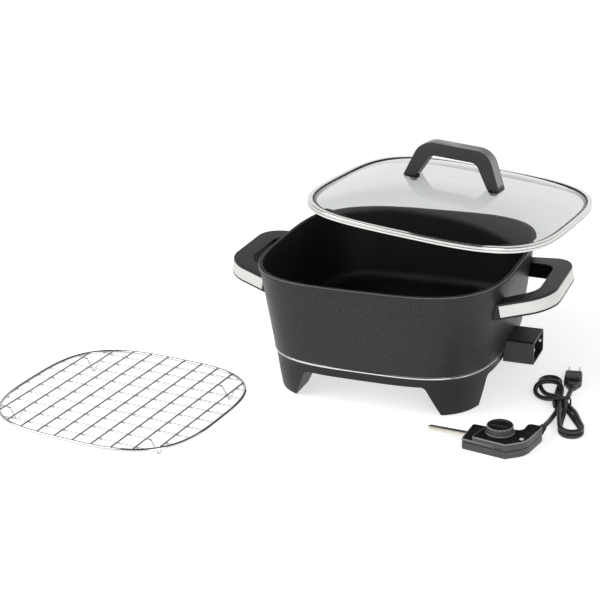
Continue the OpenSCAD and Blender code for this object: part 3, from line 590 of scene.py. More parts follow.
def add(tree, kind, settings=None, inputs=None):
    """Adds a node; a socket or node given as an input is linked, anything else is set."""
    made = tree.nodes.new(kind)
    for name, value in (settings or {}).items():
        if name == "stops":
            for i, (position, rgb) in enumerate(value):
                stop = made.color_ramp.elements[i] if i < 2 else made.color_ramp.elements.new(position)
                stop.position, stop.color = position, (*rgb, 1)
        else:
            setattr(made, name, value)
    for name, value in (inputs or {}).items():
        if isinstance(value, bpy.types.Node):
            value = value.outputs[0]
        if isinstance(value, bpy.types.NodeSocket):
            tree.links.new(value, made.inputs[name])
        else:
            made.inputs[name].default_value = value
    return made


def cleared(owner):
    """The empty node tree of a material or of a world."""
    owner.use_nodes = True
    owner.node_tree.nodes.clear()
    return owner.node_tree


def tone(rgb, factor):
    return tuple(min(1.0, c * factor) for c in rgb)


def mottle(tree, place, size, stops, detail=2.0):
    """Grains of a real size, in metres, and the colours that they mix."""
    grains = add(tree, "ShaderNodeTexNoise", inputs={"Vector": place, "Scale": 1 / size, "Detail": detail})
    return grains, add(tree, "ShaderNodeValToRGB", {"stops": stops}, {"Fac": grains.outputs["Fac"]})


def shade(tree, gloss=None, relief=None, **inputs):
    """The surface shader and its output, with sockets in plain keys.

    gloss is a pattern with its least and its greatest roughness; relief is a pattern with its strength
    and its depth in metres.
    """
    if gloss:
        pattern, low, high = gloss
        inputs["rough"] = add(tree, "ShaderNodeMapRange", inputs={
            "Value": pattern.outputs["Fac"], "From Min": 0.3, "From Max": 0.7, "To Min": low, "To Max": high,
        })
    if relief:
        pattern, strength, depth = relief
        inputs["bump"] = add(tree, "ShaderNodeBump", inputs={
            "Strength": strength, "Distance": depth, "Height": pattern.outputs["Fac"],
        })
    sockets = {
        "colour": "Base Color", "rough": "Roughness", "metal": "Metallic", "bump": "Normal", "ior": "IOR",
        "clear": "Transmission Weight", "shine": "Specular IOR Level", "grain": "Anisotropic",
    }
    values = {sockets[key]: value for key, value in inputs.items()}
    shader = add(tree, "ShaderNodeBsdfPrincipled", inputs=values)
    add(tree, "ShaderNodeOutputMaterial", inputs={"Surface": shader})


def nonstick_coat(tree, place, rgb, rough, low=0.82, high=1.7):
    """Sprayed PTFE coat on a die-cast wall: satin, with a fine pebbled grain that sparkles a little."""
    # The real grain is about 0.3 mm; it is drawn near 1.1 mm, so that it shows at arm's length.
    size = bpy.context.scene.skillet_shape.grain
    grains, mixed = mottle(tree, place, size, [(0.42, tone(rgb, low)), (0.66, tone(rgb, high))])
    cloud = add(tree, "ShaderNodeTexNoise", inputs={"Vector": place, "Scale": 1 / 0.045, "Detail": 3.0})
    shade(tree, (cloud, rough - 0.03, rough + 0.04), (grains, 0.22, 0.0002), colour=mixed, ior=1.35)


def die_cast(tree, place, dark, pale):
    """Bare die-cast aluminium: dull silver with a sandy grain from the die."""
    grains, mixed = mottle(tree, place, 0.0016, [(0.35, dark), (0.7, pale)])
    shade(tree, None, (grains, 0.3, 0.0003), colour=mixed, metal=1.0, rough=0.5)


def moulded(tree, place, rgb, rough, grit=0.0006, depth=0.16, shine=0.5):
    """Compression-moulded plastic such as phenolic: even, dark, with a trace of flow and a fine matt skin."""
    grains = add(tree, "ShaderNodeTexNoise", inputs={"Vector": place, "Scale": 1 / grit, "Detail": 3.0})
    _, mixed = mottle(tree, place, 0.03, [(0.3, tone(rgb, 0.88)), (0.7, tone(rgb, 1.15))])
    shade(tree, (grains, rough - 0.04, rough + 0.04), (grains, depth, 0.0001), colour=mixed, shine=shine)


def plated(tree, place, rgb, rough):
    """Polished or plated metal: a clean mirror with faint wear in its gloss."""
    wear, mixed = mottle(tree, place, 0.006, [(0.3, tone(rgb, 0.96)), (0.7, rgb)], 4.0)
    shade(tree, (wear, rough - 0.02, rough + 0.02), colour=mixed, metal=1.0)


def brushed(tree, place, rgb):
    """Stainless strip brushed along its length: pale, with fine streaks that blur reflections crosswise."""
    # UVs are in metres: x runs along the strip and y across it. Real lines are near 0.1 mm; drawn at 0.35 mm.
    scale = (1 / 0.03, 1 / 0.00035, 1.0)
    drawn_out = add(tree, "ShaderNodeMapping", inputs={"Vector": place.node.outputs["UV"], "Scale": scale})
    lines, mixed = mottle(tree, drawn_out, 1.0, [(0.25, tone(rgb, 0.8)), (0.75, tone(rgb, 1.1))], 3.0)
    shade(tree, None, (lines, 0.12, 0.00005), colour=mixed, metal=1.0, rough=0.34, grain=0.6)


def tempered_glass(tree, place, rgb):
    """Tempered soda-lime glass, 4 mm: clear, with a faint grey cast where two faces are looked through."""
    wave = add(tree, "ShaderNodeTexNoise", inputs={"Vector": place, "Scale": 1 / 0.12, "Detail": 1.0})
    shade(tree, None, (wave, 0.04, 0.001), colour=(*rgb, 1), rough=0.0, clear=1.0, ior=1.5)


def steatite(tree, place, dark, pale):
    """A chalky cream ceramic."""
    _, mixed = mottle(tree, place, 0.0012, [(0.3, dark), (0.7, pale)])
    shade(tree, colour=mixed, rough=0.6)


def browned_alloy(tree, place, dark, pale):
    """Nickel-alloy tube browned by heat."""
    _, mixed = mottle(tree, place, 0.012, [(0.3, dark), (0.75, pale)])
    shade(tree, colour=mixed, metal=1.0, rough=0.46)


def acrylic(tree, place, rgb):
    """A smooth, milky lamp window."""
    _, mixed = mottle(tree, place, 0.002, [(0.2, tone(rgb, 0.92)), (0.8, rgb)])
    shade(tree, colour=mixed, rough=0.18, ior=1.49)


# Each finish: its material's name, how it is built, its colours (codes or properties), its other values.
FINISHES = {
    "pan_coat": ("Nonstick coat, outer wall", nonstick_coat, ["coat"], {"rough": 0.4}),
    # The cooking coat's darker colour is partly painted shade inside the pan.
    "cooking_coat": ("Nonstick coat, cooking surface", nonstick_coat, ["inner_coat"], {"rough": 0.48}),
    # Where hands and the lid have polished the coat, on the rounded edge of the rim: glossier, and drawn much
    # paler as a painted highlight.
    "rim_coat_highlight": ("Nonstick coat, rim edge", nonstick_coat, ["rim"], {"rough": 0.24, "low": 0.9, "high": 1.2}),
    "cast_aluminium": ("Cast aluminium", die_cast, ["#8d8e8d", "#b4b4b1"], {}),
    "phenolic": ("Phenolic moulding", moulded, ["moulding"], {"rough": 0.44, "shine": 0.25}),
    # Painted shade: the inner faces of a side handle's opening are drawn near black, where little light
    # comes.
    "openings": ("Phenolic moulding, openings", moulded, ["#0c0d0d"], {"rough": 0.6, "shine": 0.15}),
    "grips": ("Phenolic moulding, grips", moulded, ["grip"], {"rough": 0.4, "shine": 0.3}),
    "lid_grip": ("Phenolic moulding, lid handle", moulded, ["lid_grip"], {"rough": 0.4, "shine": 0.3}),
    # A lighter copy of the phenolic for the guard's sides: painted light.
    "guard": ("Phenolic moulding, guard", moulded, ["guard"], {"rough": 0.36, "shine": 0.35}),
    # The grey of the sides is a painted reflection of the pale floor on black plastic.
    "control_sides_painted_reflection": ("Control plastic, grained", moulded, ["control"], {"rough": 0.4, "depth": 0.1}),
    "control_top": (
        "Control plastic, polished", moulded, ["control_top"], {"rough": 0.16, "depth": 0.04, "shine": 0.25},
    ),
    # Painted highlight: a pale line drawn on the edges between the sides and the top.
    "painted_edge_highlights": ("Control plastic, edges", moulded, ["control_edge"], {"rough": 0.3, "depth": 0.06}),
    # Soft PVC: satin, with a slight drag grain.
    "cord_jacket": ("Cord jacket", moulded, ["cord"], {"rough": 0.42, "grit": 0.0009, "depth": 0.1}),
    # Partly a real sealant line, partly painted shade inside the band's fold.
    "sealant": ("Glass sealant", moulded, ["#232a27"], {"rough": 0.5}),
    "silicone": ("Silicone rubber", moulded, ["#26272a"], {"rough": 0.6}),
    "side_inlay": ("Brushed stainless steel", brushed, ["inlay"], {}),
    # The lid's inlay is the side inlays' steel drawn darker: painted shade.
    "lid_inlay": ("Brushed stainless steel, lid handle", brushed, ["lid_inlay"], {}),
    "polished_steel": ("Polished stainless steel", plated, ["steel"], {"rough": 0.1}),
    "chrome_wire": ("Chromed wire", plated, ["wire"], {"rough": 0.07}),
    "nickel": ("Nickel plate", plated, ["#d8d3c8"], {"rough": 0.2}),
    "zinc": ("Zinc-plated steel", plated, ["#bfbfba"], {"rough": 0.34}),
    "blackened": ("Blackened steel", plated, ["#3b3c3c"], {"rough": 0.42}),
    "brass": ("Brass strip", plated, ["#c9a95c"], {"rough": 0.26}),
    "glass": ("Tempered glass", tempered_glass, ["glass"], {}),
    "ceramic": ("Steatite", steatite, ["#d9d2c1", "#eae5d8"], {}),
    "element_sheath": ("Element sheath", browned_alloy, ["#4b4642", "#77706a"], {}),
    "neon_lamp": ("Neon lamp glass", acrylic, ["#e0662f"], {}),
    "lamp_window": ("Lamp window", acrylic, ["#e9e8e0"], {}),
}
CONTROL_PLASTIC = ["control_sides_painted_reflection", "control_top", "painted_edge_highlights"]


def finish(key):
    """The material of a finish, built the first time it is asked for."""
    name, build, tints, values = FINISHES[key]
    material = bpy.data.materials.get(name)
    if material is None:
        material = bpy.data.materials.new(name)
        tree = cleared(material)
        place = add(tree, "ShaderNodeTexCoord").outputs["Object"]
        chosen = bpy.context.scene.skillet_colours
        rgbs = [linear(tint) if tint.startswith("#") else tuple(getattr(chosen, tint)) for tint in tints]
        build(tree, place, *rgbs, **values)
    return material


def control_face(centre, normal):
    """Top faces are polished and their edges get a painted highlight; the seam round the housing is in
    shadow.
    """
    if normal.z > 0.985 or abs(centre.z - HOUSING_SEAM) < 0.5:
        return 1
    # Sloping faces, which are the rounded edges, take the pale plastic: a painted highlight.
    return 2 if normal.z > 0.15 else 0


# ---- Operators ----------------------------------------------------------------------


class SKILLET_OT_camera(bpy.types.Operator):
    """Places the camera, raised and to the front right"""

    bl_idname = "skillet.camera"
    bl_label = "Camera"

    def execute(self, context):
        azimuth, roll = math.radians(CAMERA_AZIMUTH), math.radians(CAMERA_ROLL)
        eye = Vector(CAMERA_EYE)
        back = (eye - Vector(CAMERA_AIM)).normalized()
        right = Vector((math.cos(azimuth), math.sin(azimuth), 0))
        right = (right - back * right.dot(back)).normalized()
        up = back.cross(right)
        tilted_right = right * math.cos(roll) + up * math.sin(roll)
        tilted_up = up * math.cos(roll) - right * math.sin(roll)
        data = bpy.data.cameras.new("Camera")
        data.sensor_fit, data.sensor_width = "HORIZONTAL", 36.0
        data.lens = CAMERA_LENS * data.sensor_width
        data.clip_start, data.clip_end = 0.05, 40.0
        camera = placed("Camera", data)
        facing = Matrix((tilted_right, tilted_up, back)).transposed().to_4x4()
        camera.matrix_world = Matrix.Translation(eye * MM) @ facing
        context.scene.camera = camera
        return {"FINISHED"}


class SKILLET_OT_cord(bpy.types.Operator):
    """Lays the supply cord in its hank, with the tie, the strain relief and the plug"""

    bl_idname = "skillet.cord"
    bl_label = "Cord and plug"

    def execute(self, context):
        diameter = context.scene.skillet_shape.cord_diameter
        line = bpy.data.curves.new("SupplyCord", "CURVE")
        line.dimensions = "3D"
        line.bevel_depth, line.bevel_resolution = diameter / 2, 6
        line.resolution_u = 4
        line.use_fill_caps = True
        spline = line.splines.new("NURBS")
        spline.points.add(len(CORD_ROUTE) - 1)
        for point, place in zip(spline.points, CORD_ROUTE):
            point.co = (*(Vector(place) * MM), 1)
        spline.order_u = 4
        spline.use_endpoint_u = True
        line.materials.append(finish("cord_jacket"))
        cord = placed("SupplyCord", line)
        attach(cord, "control")
        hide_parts("cord_lead", "cord_hank", "cord_tail")

        # The tie is a flat strap round the crossing, a little tighter in its middle.
        corners = [(-8.4, 2.2, 2.1), (8.4, 2.2, 2.1), (8.4, 9.9, 2.1), (-8.4, 9.9, 2.1)]
        loop = TIE_PLACE @ UPRIGHT
        section = [
            (-4.0, 0.15), (-3.7, 0), (-1.5, -0.12), (1.5, -0.12), (3.7, 0), (4.0, 0.15),
            (4.0, 0.6), (3.7, 0.75), (1.5, 0.62), (-1.5, 0.62), (-3.7, 0.75), (-4.0, 0.6),
        ]
        rings = [[loop @ Vector((x, z, w)) for x, z in belt(corners, grow - 0.8)] for w, grow in section]
        made = solid("CordTie", skin(rings, closed=True))
        tie = piece(made, "control", ["cord_tie"], ["silicone"])

        out = CONTROL_PLACE @ Matrix.Translation((EXIT_X, 26.4, 9)) @ turned(EXIT_TURN) @ turned(-90, "X")
        relief = rounded([
            (3.0, 0, 0), (3.6, 0.1, 0.3), (3.6, 7.3, 0), (5.0, 7.3, 0.5), (5.0, 9.5, 0.5), (3.9, 9.5, 0.2),
            (3.85, 11.6, 0.2), (4.6, 11.6, 0.4), (4.5, 13.2, 0.4), (3.6, 13.2, 0.2), (3.55, 15.0, 0.2),
            (4.35, 15.0, 0.4), (4.25, 16.6, 0.4), (3.4, 16.6, 0.2), (3.35, 18.4, 0.2), (4.1, 18.4, 0.4),
            (3.9, 20.5, 0.6), (2.8, 20.6, 0.2), (2.78, 17.2, 0), (1.0, 17.2, 0),
        ])
        made = solid("StrainRelief", moved(loft(relief), out))
        piece(made, "control", ["strain_relief"], ["cord_jacket"], sharp=40)

        body = [(0, 2, 4.4), (7.4, 13, 3), (7.4, 30, 3), (-7.4, 30, 3), (-7.4, 13, 3)]
        step = [(6.8, 15, 3), (6.8, 29.6, 3), (-6.8, 29.6, 3), (-6.8, 15, 3)]
        made = solid("PlugBody", moved(eased(lambda g: belt(body, -g), 0, 9.2, 1.2, 1.4), PLUG_PLACE))
        combine(made, "UNION", moved(eased(lambda g: belt(step, -g), 7.0, 12, 0, 1.2), PLUG_PLACE))
        cut(made, moved(rod((0, -4, 4.5), (0, 2, 4.5), 2.8), PLUG_PLACE))
        for x in (-BLADE_X, BLADE_X):
            cut(made, moved(block((x - 0.8, 26.9, 2.8), (x + 0.8, 36.9, 9.2)), PLUG_PLACE))
        soften_edges(made, 0.9)
        plug = piece(made, "control", ["plug_body"], ["cord_jacket"])
        dress("nickel", "plug_blades")
        return {"FINISHED"}


class SKILLET_OT_pan(bpy.types.Operator):
    """Casts the square pan with its rim bead, screw bosses and bare underside"""

    bl_idname = "skillet.pan"
    bl_label = "Pan"

    def execute(self, context):
        top = RIM_Z
        inner = PAN_FLOOR
        section = rounded([
            (FOOT_HALF - 8.4, UNDER_Z, 0), (FOOT_HALF - 7.4, FOOT_Z, 0.4), (FOOT_HALF - 0.1, FOOT_Z, 1.1),
            (wall_half(top - 4.6), top - 4.6, 0.3), (PAN_HALF - 0.1, top - 4.0, 0.5),
            (PAN_HALF - 0.1, top - 0.1, 1.1), (PAN_HALF - 4.5, top - 0.1, 0.9),
            (wall_half(inner) - WALL, inner, 15), (wall_half(inner) - WALL - 30, inner, 0),
        ], steps=9)
        walls = []
        for (a, low), (b, high) in zip(section, section[1:]):
            count = int(abs(high - low) // 12) + 1
            walls += [(a + (b - a) * i / count, low + (high - low) * i / count) for i in range(count)]
        made = solid("Pan", loft([*walls, section[-1]], PAN_N))
        cut(made, block((FOOT_HALF - 10, -PORT, FOOT_Z - 2), (FOOT_HALF + 4, PORT, UNDER_Z)))
        combine(made, "UNION", *[stud(x, y, SKIRT_TOP - 5, UNDER_Z + 1, 6) for x, y in BOSSES])
        cut(made, *[stud(x, y, SKIRT_TOP - 6, UNDER_Z + 1.4, 2.05) for x, y in BOSSES])

        def coat(centre, normal):
            """Which coat: outside, inside, bare metal underneath, or the edge of the rim with its painted
            highlight.
            """
            within = max(abs(centre.x), abs(centre.y)) < FOOT_HALF - 0.4
            if centre.z < UNDER_Z + 1.5 and within and normal.z < 0.5:
                return 2
            outward = normal.x * centre.x + normal.y * centre.y > 0
            # The rounded edge of the rim takes the pale coat, a painted highlight.
            if centre.z > top - 1.4 and outward and 0.2 < normal.z < 0.93:
                return 3
            return 0 if outward and normal.z < 0.9 else 1

        coats = ["pan_coat", "cooking_coat", "cast_aluminium", "rim_coat_highlight"]
        piece(made, "cooker", ["pan"], coats, coat)
        return {"FINISHED"}


def tunnel(top, low, across, grow):
    """A way through the base between its feet, grown on all sides."""
    r = 7
    roof = BAND_Z - r - 0.03 * grow
    outline = belt([
        (-low - grow - 0.5, -3, 0.5), (low + grow + 0.5, -3, 0.5),
        (top + grow - r, roof, r), (-top - grow + r, roof, r),
    ])
    turn = turned(90) if across else LEVEL
    return prism(outline, -FOOT_HALF - 20, FOOT_HALF + 20, turn @ UPRIGHT)


class SKILLET_OT_base(bpy.types.Operator):
    """Moulds the footed base and lays the bright trim ring on it"""

    bl_idname = "skillet.base"
    bl_label = "Base and trim"

    def execute(self, context):
        middle = (SKIRT_HALF + FEET_HALF) / 2 + 0.3
        top_half = FOOT_HALF - 0.3
        outside = flowing([
            (FEET_HALF + 0.3, 1.0, 3.9), (middle, BAND_Z / 2, 3.7), (SKIRT_HALF, BAND_Z + 0.13, PAN_N),
            (top_half, SKIRT_TOP, PAN_N),
        ])
        made = solid("BaseSkirt", loft([(FEET_HALF - 0.9, 0.0, 3.9), *outside]))
        cut(made, *[tunnel(*way, 0) for way in TUNNELS])
        hollow = solid("hollow", loft(flowing([
            (FEET_HALF - 3.5, 3, 3.9), (middle - 3.5, BAND_Z / 2, 3.7),
            (SKIRT_HALF - 3.5, BAND_Z + 0.29, PAN_N), (top_half - 3.5, SKIRT_TOP + 1, PAN_N),
        ], 3)))
        cut(hollow, *[tunnel(*way, 3.5) for way in TUNNELS])
        # What is kept out of the hollow stays as the four screw lugs.
        for x, y in BOSSES:
            lug = belt([(x, abs(y), 6.5), (x + 7, FOOT_HALF - 5.4, 1), (x - 7, FOOT_HALF - 5.4, 1)])
            outline = [(u, math.copysign(v, y)) for u, v in lug]
            cut(hollow, prism(outline, SKIRT_TOP - 8, SKIRT_TOP - 5.1))
        cut(made, hollow)
        discard(hollow)
        cut(made, *[stud(x, y, SKIRT_TOP - 12, SKIRT_TOP - 1, 2.3) for x, y in BOSSES])
        cut(made, block((FOOT_HALF - 12, -PORT, TERMINAL_Z - 5.5), (FOOT_HALF + 8, PORT, TERMINAL_Z + 14)))
        cut(made, *[bolt(FOOT_HALF - 10, FOOT_HALF + 2, y, z, 1.6) for y, z in GUARD_SCREWS])
        soften_edges(made, 0.9)
        piece(made, "cooker", ["base_skirt", "base_legs"], ["phenolic"])

        inner, outer, low, high = FOOT_HALF - 4.3, FOOT_HALF + 0.6, SKIRT_TOP + 0.03, FOOT_Z - 0.03
        corners = [(inner, low, 0.2), (outer, low, 0.7), (outer, high, 0.7), (inner, high, 0.2)]
        ring = rounded(corners, closed=True, steps=4)
        made = solid("TrimRing", loft(ring, PAN_N, closed=True))
        cut(made, block((FOOT_HALF - 10, -PORT, FOOT_Z - 4), (FOOT_HALF + 10, PORT, FOOT_Z + 2)))
        piece(made, "cooker", ["trim_ring"], ["polished_steel"])
        dress("zinc", "skirt_screws")
        return {"FINISHED"}


class SKILLET_OT_element(bpy.types.Operator):
    """Finishes the heating element, its pins and the probe well"""

    bl_idname = "skillet.element"
    bl_label = "Heating element"

    def execute(self, context):
        dress("element_sheath", "heating_element")
        dress("nickel", "terminal_pins")
        dress("ceramic", "terminal_insulators")
        dress("cast_aluminium", "probe_well")
        return {"FINISHED"}


class SKILLET_OT_guard(bpy.types.Operator):
    """Moulds the guard round the terminals"""

    bl_idname = "skillet.guard"
    bl_label = "Socket guard"

    def execute(self, context):
        def mouth(grow, r):
            y, low, high = 24.1 - grow - r, 32.7 + grow + r, 61.4 - grow - r
            return belt([(-y, low, r), (y, low, r), (y, high, r), (-y, high, r)], 0, 8)

        shell = eased(lambda g: mouth(g, 3 - g), FOOT_HALF - 13.6, GUARD_END, 0, 0.7)
        made = solid("SocketGuard", moved(shell, FACING_X))
        cut(made, prism(mouth(2.5, 1.2), FOOT_HALF + 5.4, GUARD_END + 20, FACING_X))
        against = [
            (FOOT_HALF - 28.6, 20), (SKIRT_HALF - 1, 20), (SKIRT_HALF + 0.1, BAND_Z),
            (FOOT_HALF - 0.2, SKIRT_TOP - 0.1), (FOOT_HALF + 0.7, SKIRT_TOP - 0.1),
            (FOOT_HALF + 0.7, FOOT_Z + 0.1), (FOOT_HALF + 0.1, FOOT_Z + 0.1),
            (wall_half(80) + 0.1, 80), (FOOT_HALF - 28.6, 80),
        ]
        cut(made, prism(against, -40, 40, UPRIGHT))
        start, end = FOOT_HALF - 8, FOOT_HALF + 11
        cut(made, *[bolt(start, end, y, TERMINAL_Z, 4.3) for y in (-PIN_Y, PIN_Y)])
        cut(made, bolt(start, end, 0, TERMINAL_Z, 4.2))
        cut(made, *[bolt(start, end, y, z, 1.7) for y, z in GUARD_SCREWS])
        soften_edges(made, 0.55)

        def faces(centre, normal):
            """The sides are a lighter copy of the moulding, painted light; the top and the inside of the
            mouth are the darker moulding.
            """
            inside = abs(centre.y) < 23 and 34 < centre.z < 60 and centre.x < GUARD_END - 0.6
            return 1 if normal.z > 0.6 or inside else 0

        piece(made, "cooker", ["socket_guard"], ["guard", "phenolic"], faces)
        dress("zinc", "guard_screws")
        return {"FINISHED"}


def handle_place(side):
    """Where a side handle, drawn level with its top at zero, stands at its tilt."""
    turn = LEVEL if side > 0 else turned(180)
    tilt = turned(HANDLE_TILT, "Y")
    return turn @ Matrix.Translation((ROOT_X, 0, HANDLE_Z)) @ tilt @ Matrix.Translation((-ROOT_X, 0, 0))


def inlay(name, path, low, high, place):
    """A steel strip, 0.9 mm thick, let into the outer face along a path, with UVs that run along it."""
    outer, inner, ease = 0.05, 0.95, 0.28
    section = [
        (inner, low), (inner, high), (outer + ease, high), (outer, high - ease), (outer, low + ease),
        (outer + ease, low),
    ]
    rings = []
    travelled = [0.0]
    for i, p in enumerate(path):
        along = (path[min(i + 1, len(path) - 1)] - path[max(i - 1, 0)]).normalized()
        inward = Vector((-along.y, along.x))
        rings.append([place @ Vector((*(p + inward * d), w)) for d, w in section])
        if i:
            travelled.append(travelled[-1] + (p - path[i - 1]).length)
    made = solid(name, skin(rings))
    layer = made.data.uv_layers.new(name="Along")
    for loop in made.data.loops:
        ring, corner = divmod(loop.vertex_index, len(section))
        layer.data[loop.index].uv = (travelled[ring] * MM, section[corner][1] * MM)
    return made


class SKILLET_OT_handles(bpy.types.Operator):
    """Moulds the two side handles and lets their steel inlays in"""

    bl_idname = "skillet.handles"
    bl_label = "Side handles"

    def execute(self, context):
        low, high = -HANDLE_H / 2 - GROOVE_HALF, -HANDLE_H / 2 + GROOVE_HALF
        pan_wall = loft([(wall_half(90) + 0.15, 90), (wall_half(RIM_Z) + 0.15, RIM_Z)], PAN_N)
        root = wall_half(HANDLE_Z) + 1.3
        path = [
            p for p in dense(open_belt(GRIP_OUT), 1.5)
            if (abs(p.x) / root) ** PAN_N + (abs(p.y) / root) ** PAN_N > 1
        ]
        groove = solid("groove", bar(open_belt(GRIP_OUT, 3), open_belt(GRIP_OUT, -1), low, high))
        cut(groove, loft([(root - 0.1, -40), (root - 0.1, 40)], PAN_N))
        for side, hand in ((1, "Right"), (-1, "Left")):
            place = handle_place(side)
            shape = bar(open_belt(GRIP_OUT), open_belt(GRIP_IN), -HANDLE_H, 0, ease=1.4)
            made = solid(f"Handle{hand}", shape)
            cut(made, groove)
            for s in (-1, 1):
                x, y = HANDLE_SCREW[0], s * HANDLE_SCREW[1]
                cut(
                    made, block((ROOT_X - 18, y - 4.6, -11.1), (ROOT_X + 18.4, y + 4.6, -7.9)),
                    stud(x, y, -HANDLE_H - 1, -HANDLE_H + 4, 3.7), stud(x, y, -HANDLE_H + 3, -9, 2.2),
                )
            made.data.transform(place)
            cut(made, pan_wall)
            soften_edges(made, 0.9, 45)

            # Inner faces of the opening take the near-black moulding: painted shade.
            def faces(centre, normal, side=side):
                return 1 if normal.x * side < -0.2 and abs(normal.z) < 0.5 else 0

            piece(made, "cooker", [f"handle_{hand.lower()}"], ["grips", "openings"], faces)
            made = inlay(f"HandleInlay{hand}", path, low + 0.1, high - 0.1, place)
            piece(made, "cooker", [f"inlay_{hand.lower()}"], ["side_inlay"])
        discard(groove)
        dress("blackened", "handle_brackets")
        dress("zinc", "handle_screws")
        return {"FINISHED"}


def dome_z(a):
    return EDGE_Z + DOME * (1 - (a / (LID_LIP - 0.6)) ** 2.4)


def dome_n(a):
    return 2 + 1.54 * min(a / LID_LIP, 1) ** 1.5


class SKILLET_OT_lid(bpy.types.Operator):
    """Presses the domed glass and rolls the steel band round it"""

    bl_idname = "skillet.lid"
    bl_label = "Lid glass and band"

    def execute(self, context):
        reach = LID_LIP - 0.6
        steps = [reach * (i / 26) for i in range(1, 27)]
        edge = LID_HALF - 2.4
        under = [(a, dome_z(a) - 4, dome_n(a)) for a in steps]
        over = [(a, dome_z(a), dome_n(a)) for a in reversed(steps)]
        rings = [*under, (edge, EDGE_Z - 4, LID_N), (edge, EDGE_Z, LID_N), *over]
        made = solid("LidGlass", moved(loft(rings), LID_PLACE))
        screws = [stud(x, 0, CROWN_Z - 20, CROWN_Z + 10, 3.2) for x in (-LID_SCREW_X, LID_SCREW_X)]
        cut(made, *[moved(screw, LID_PLACE) for screw in screws])
        piece(made, "lid", ["lid_glass"], ["glass"], sharp=40)

        o, low, high = LID_HALF, EDGE_Z - 4.3, EDGE_Z + 0.3
        band = rounded([
            (o - 10.2, SEAT_Z, 0.4), (o, SEAT_Z, 1.3), (o, SEAT_Z + 2.9, 0.3), (o - 0.55, SEAT_Z + 3.2, 0.2),
            (o - 0.55, SEAT_Z + 3.7, 0.2), (o, SEAT_Z + 4.0, 0.3), (o, BAND_TOP, 1.5),
            (LID_LIP, BAND_TOP, 0.35), (LID_LIP - 1.7, EDGE_Z + 0.55, 0), (LID_LIP - 0.4, high, 0),
            (edge + 0.4, high, 0), (edge + 0.4, low, 0), (o - 5.6, low + 0.1, 0), (o - 10.2, low + 1.6, 0.3),
        ], closed=True, steps=5)
        made = solid("LidBand", moved(loft(band, LID_N, closed=True), LID_PLACE))
        level = LID_PLACE.inverted()

        def lining(centre, normal):
            """The fold that grips the glass, and the bead under its edge, are dark: partly a real sealant
            line, partly painted shade in the fold.
            """
            here, facing = level @ centre, level.to_3x3() @ normal
            inward = facing.x * here.x + facing.y * here.y < -0.3 * math.hypot(here.x, here.y)
            fold, bead = inward and here.z < BAND_TOP - 0.3, facing.z > 0.7 and here.z < high + 0.1
            return 1 if fold or bead else 0

        piece(made, "lid", ["lid_rim"], ["polished_steel", "sealant"], lining, sharp=40)
        return {"FINISHED"}


class SKILLET_OT_lid_handle(bpy.types.Operator):
    """Moulds the arched lid handle with its steel inlay, and finishes what clamps it to the glass"""

    bl_idname = "skillet.lid_handle"
    bl_label = "Lid handle"

    def execute(self, context):
        place = LID_PLACE @ UPRIGHT
        foot = CROWN_Z - 0.8
        made = solid("LidHandle", bar(open_belt(ARCH_OUT), open_belt(ARCH_IN), -11, 11, UPRIGHT, 1.3))
        groove = solid("groove", bar(open_belt(ARCH_OUT, 3), open_belt(ARCH_OUT, -1), -8.6, 8.6, UPRIGHT))
        cut(groove, block((-90, -30, 0), (90, 30, CROWN_Z + 2.6)))
        cut(made, groove)
        discard(groove)
        cut(made, block((-90, -30, foot - 40), (90, 30, foot)))
        cut(made, *[stud(x, 0, foot - 1, foot + 13, 2.55) for x in (-LID_SCREW_X, LID_SCREW_X)])
        soften_edges(made, 1.0, 45)
        made.data.transform(LID_PLACE)
        piece(made, "lid", ["lid_handle"], ["lid_grip"])
        path = [p for p in dense(open_belt(ARCH_OUT), 1.0) if p.y > CROWN_Z + 2.7]
        made = inlay("LidHandleInlay", path, -8.5, 8.5, place)
        piece(made, "lid", ["lid_handle_inlay"], ["lid_inlay"])
        dress("silicone", "lid_gaskets")
        dress("zinc", "lid_washers", "lid_screws")
        return {"FINISHED"}


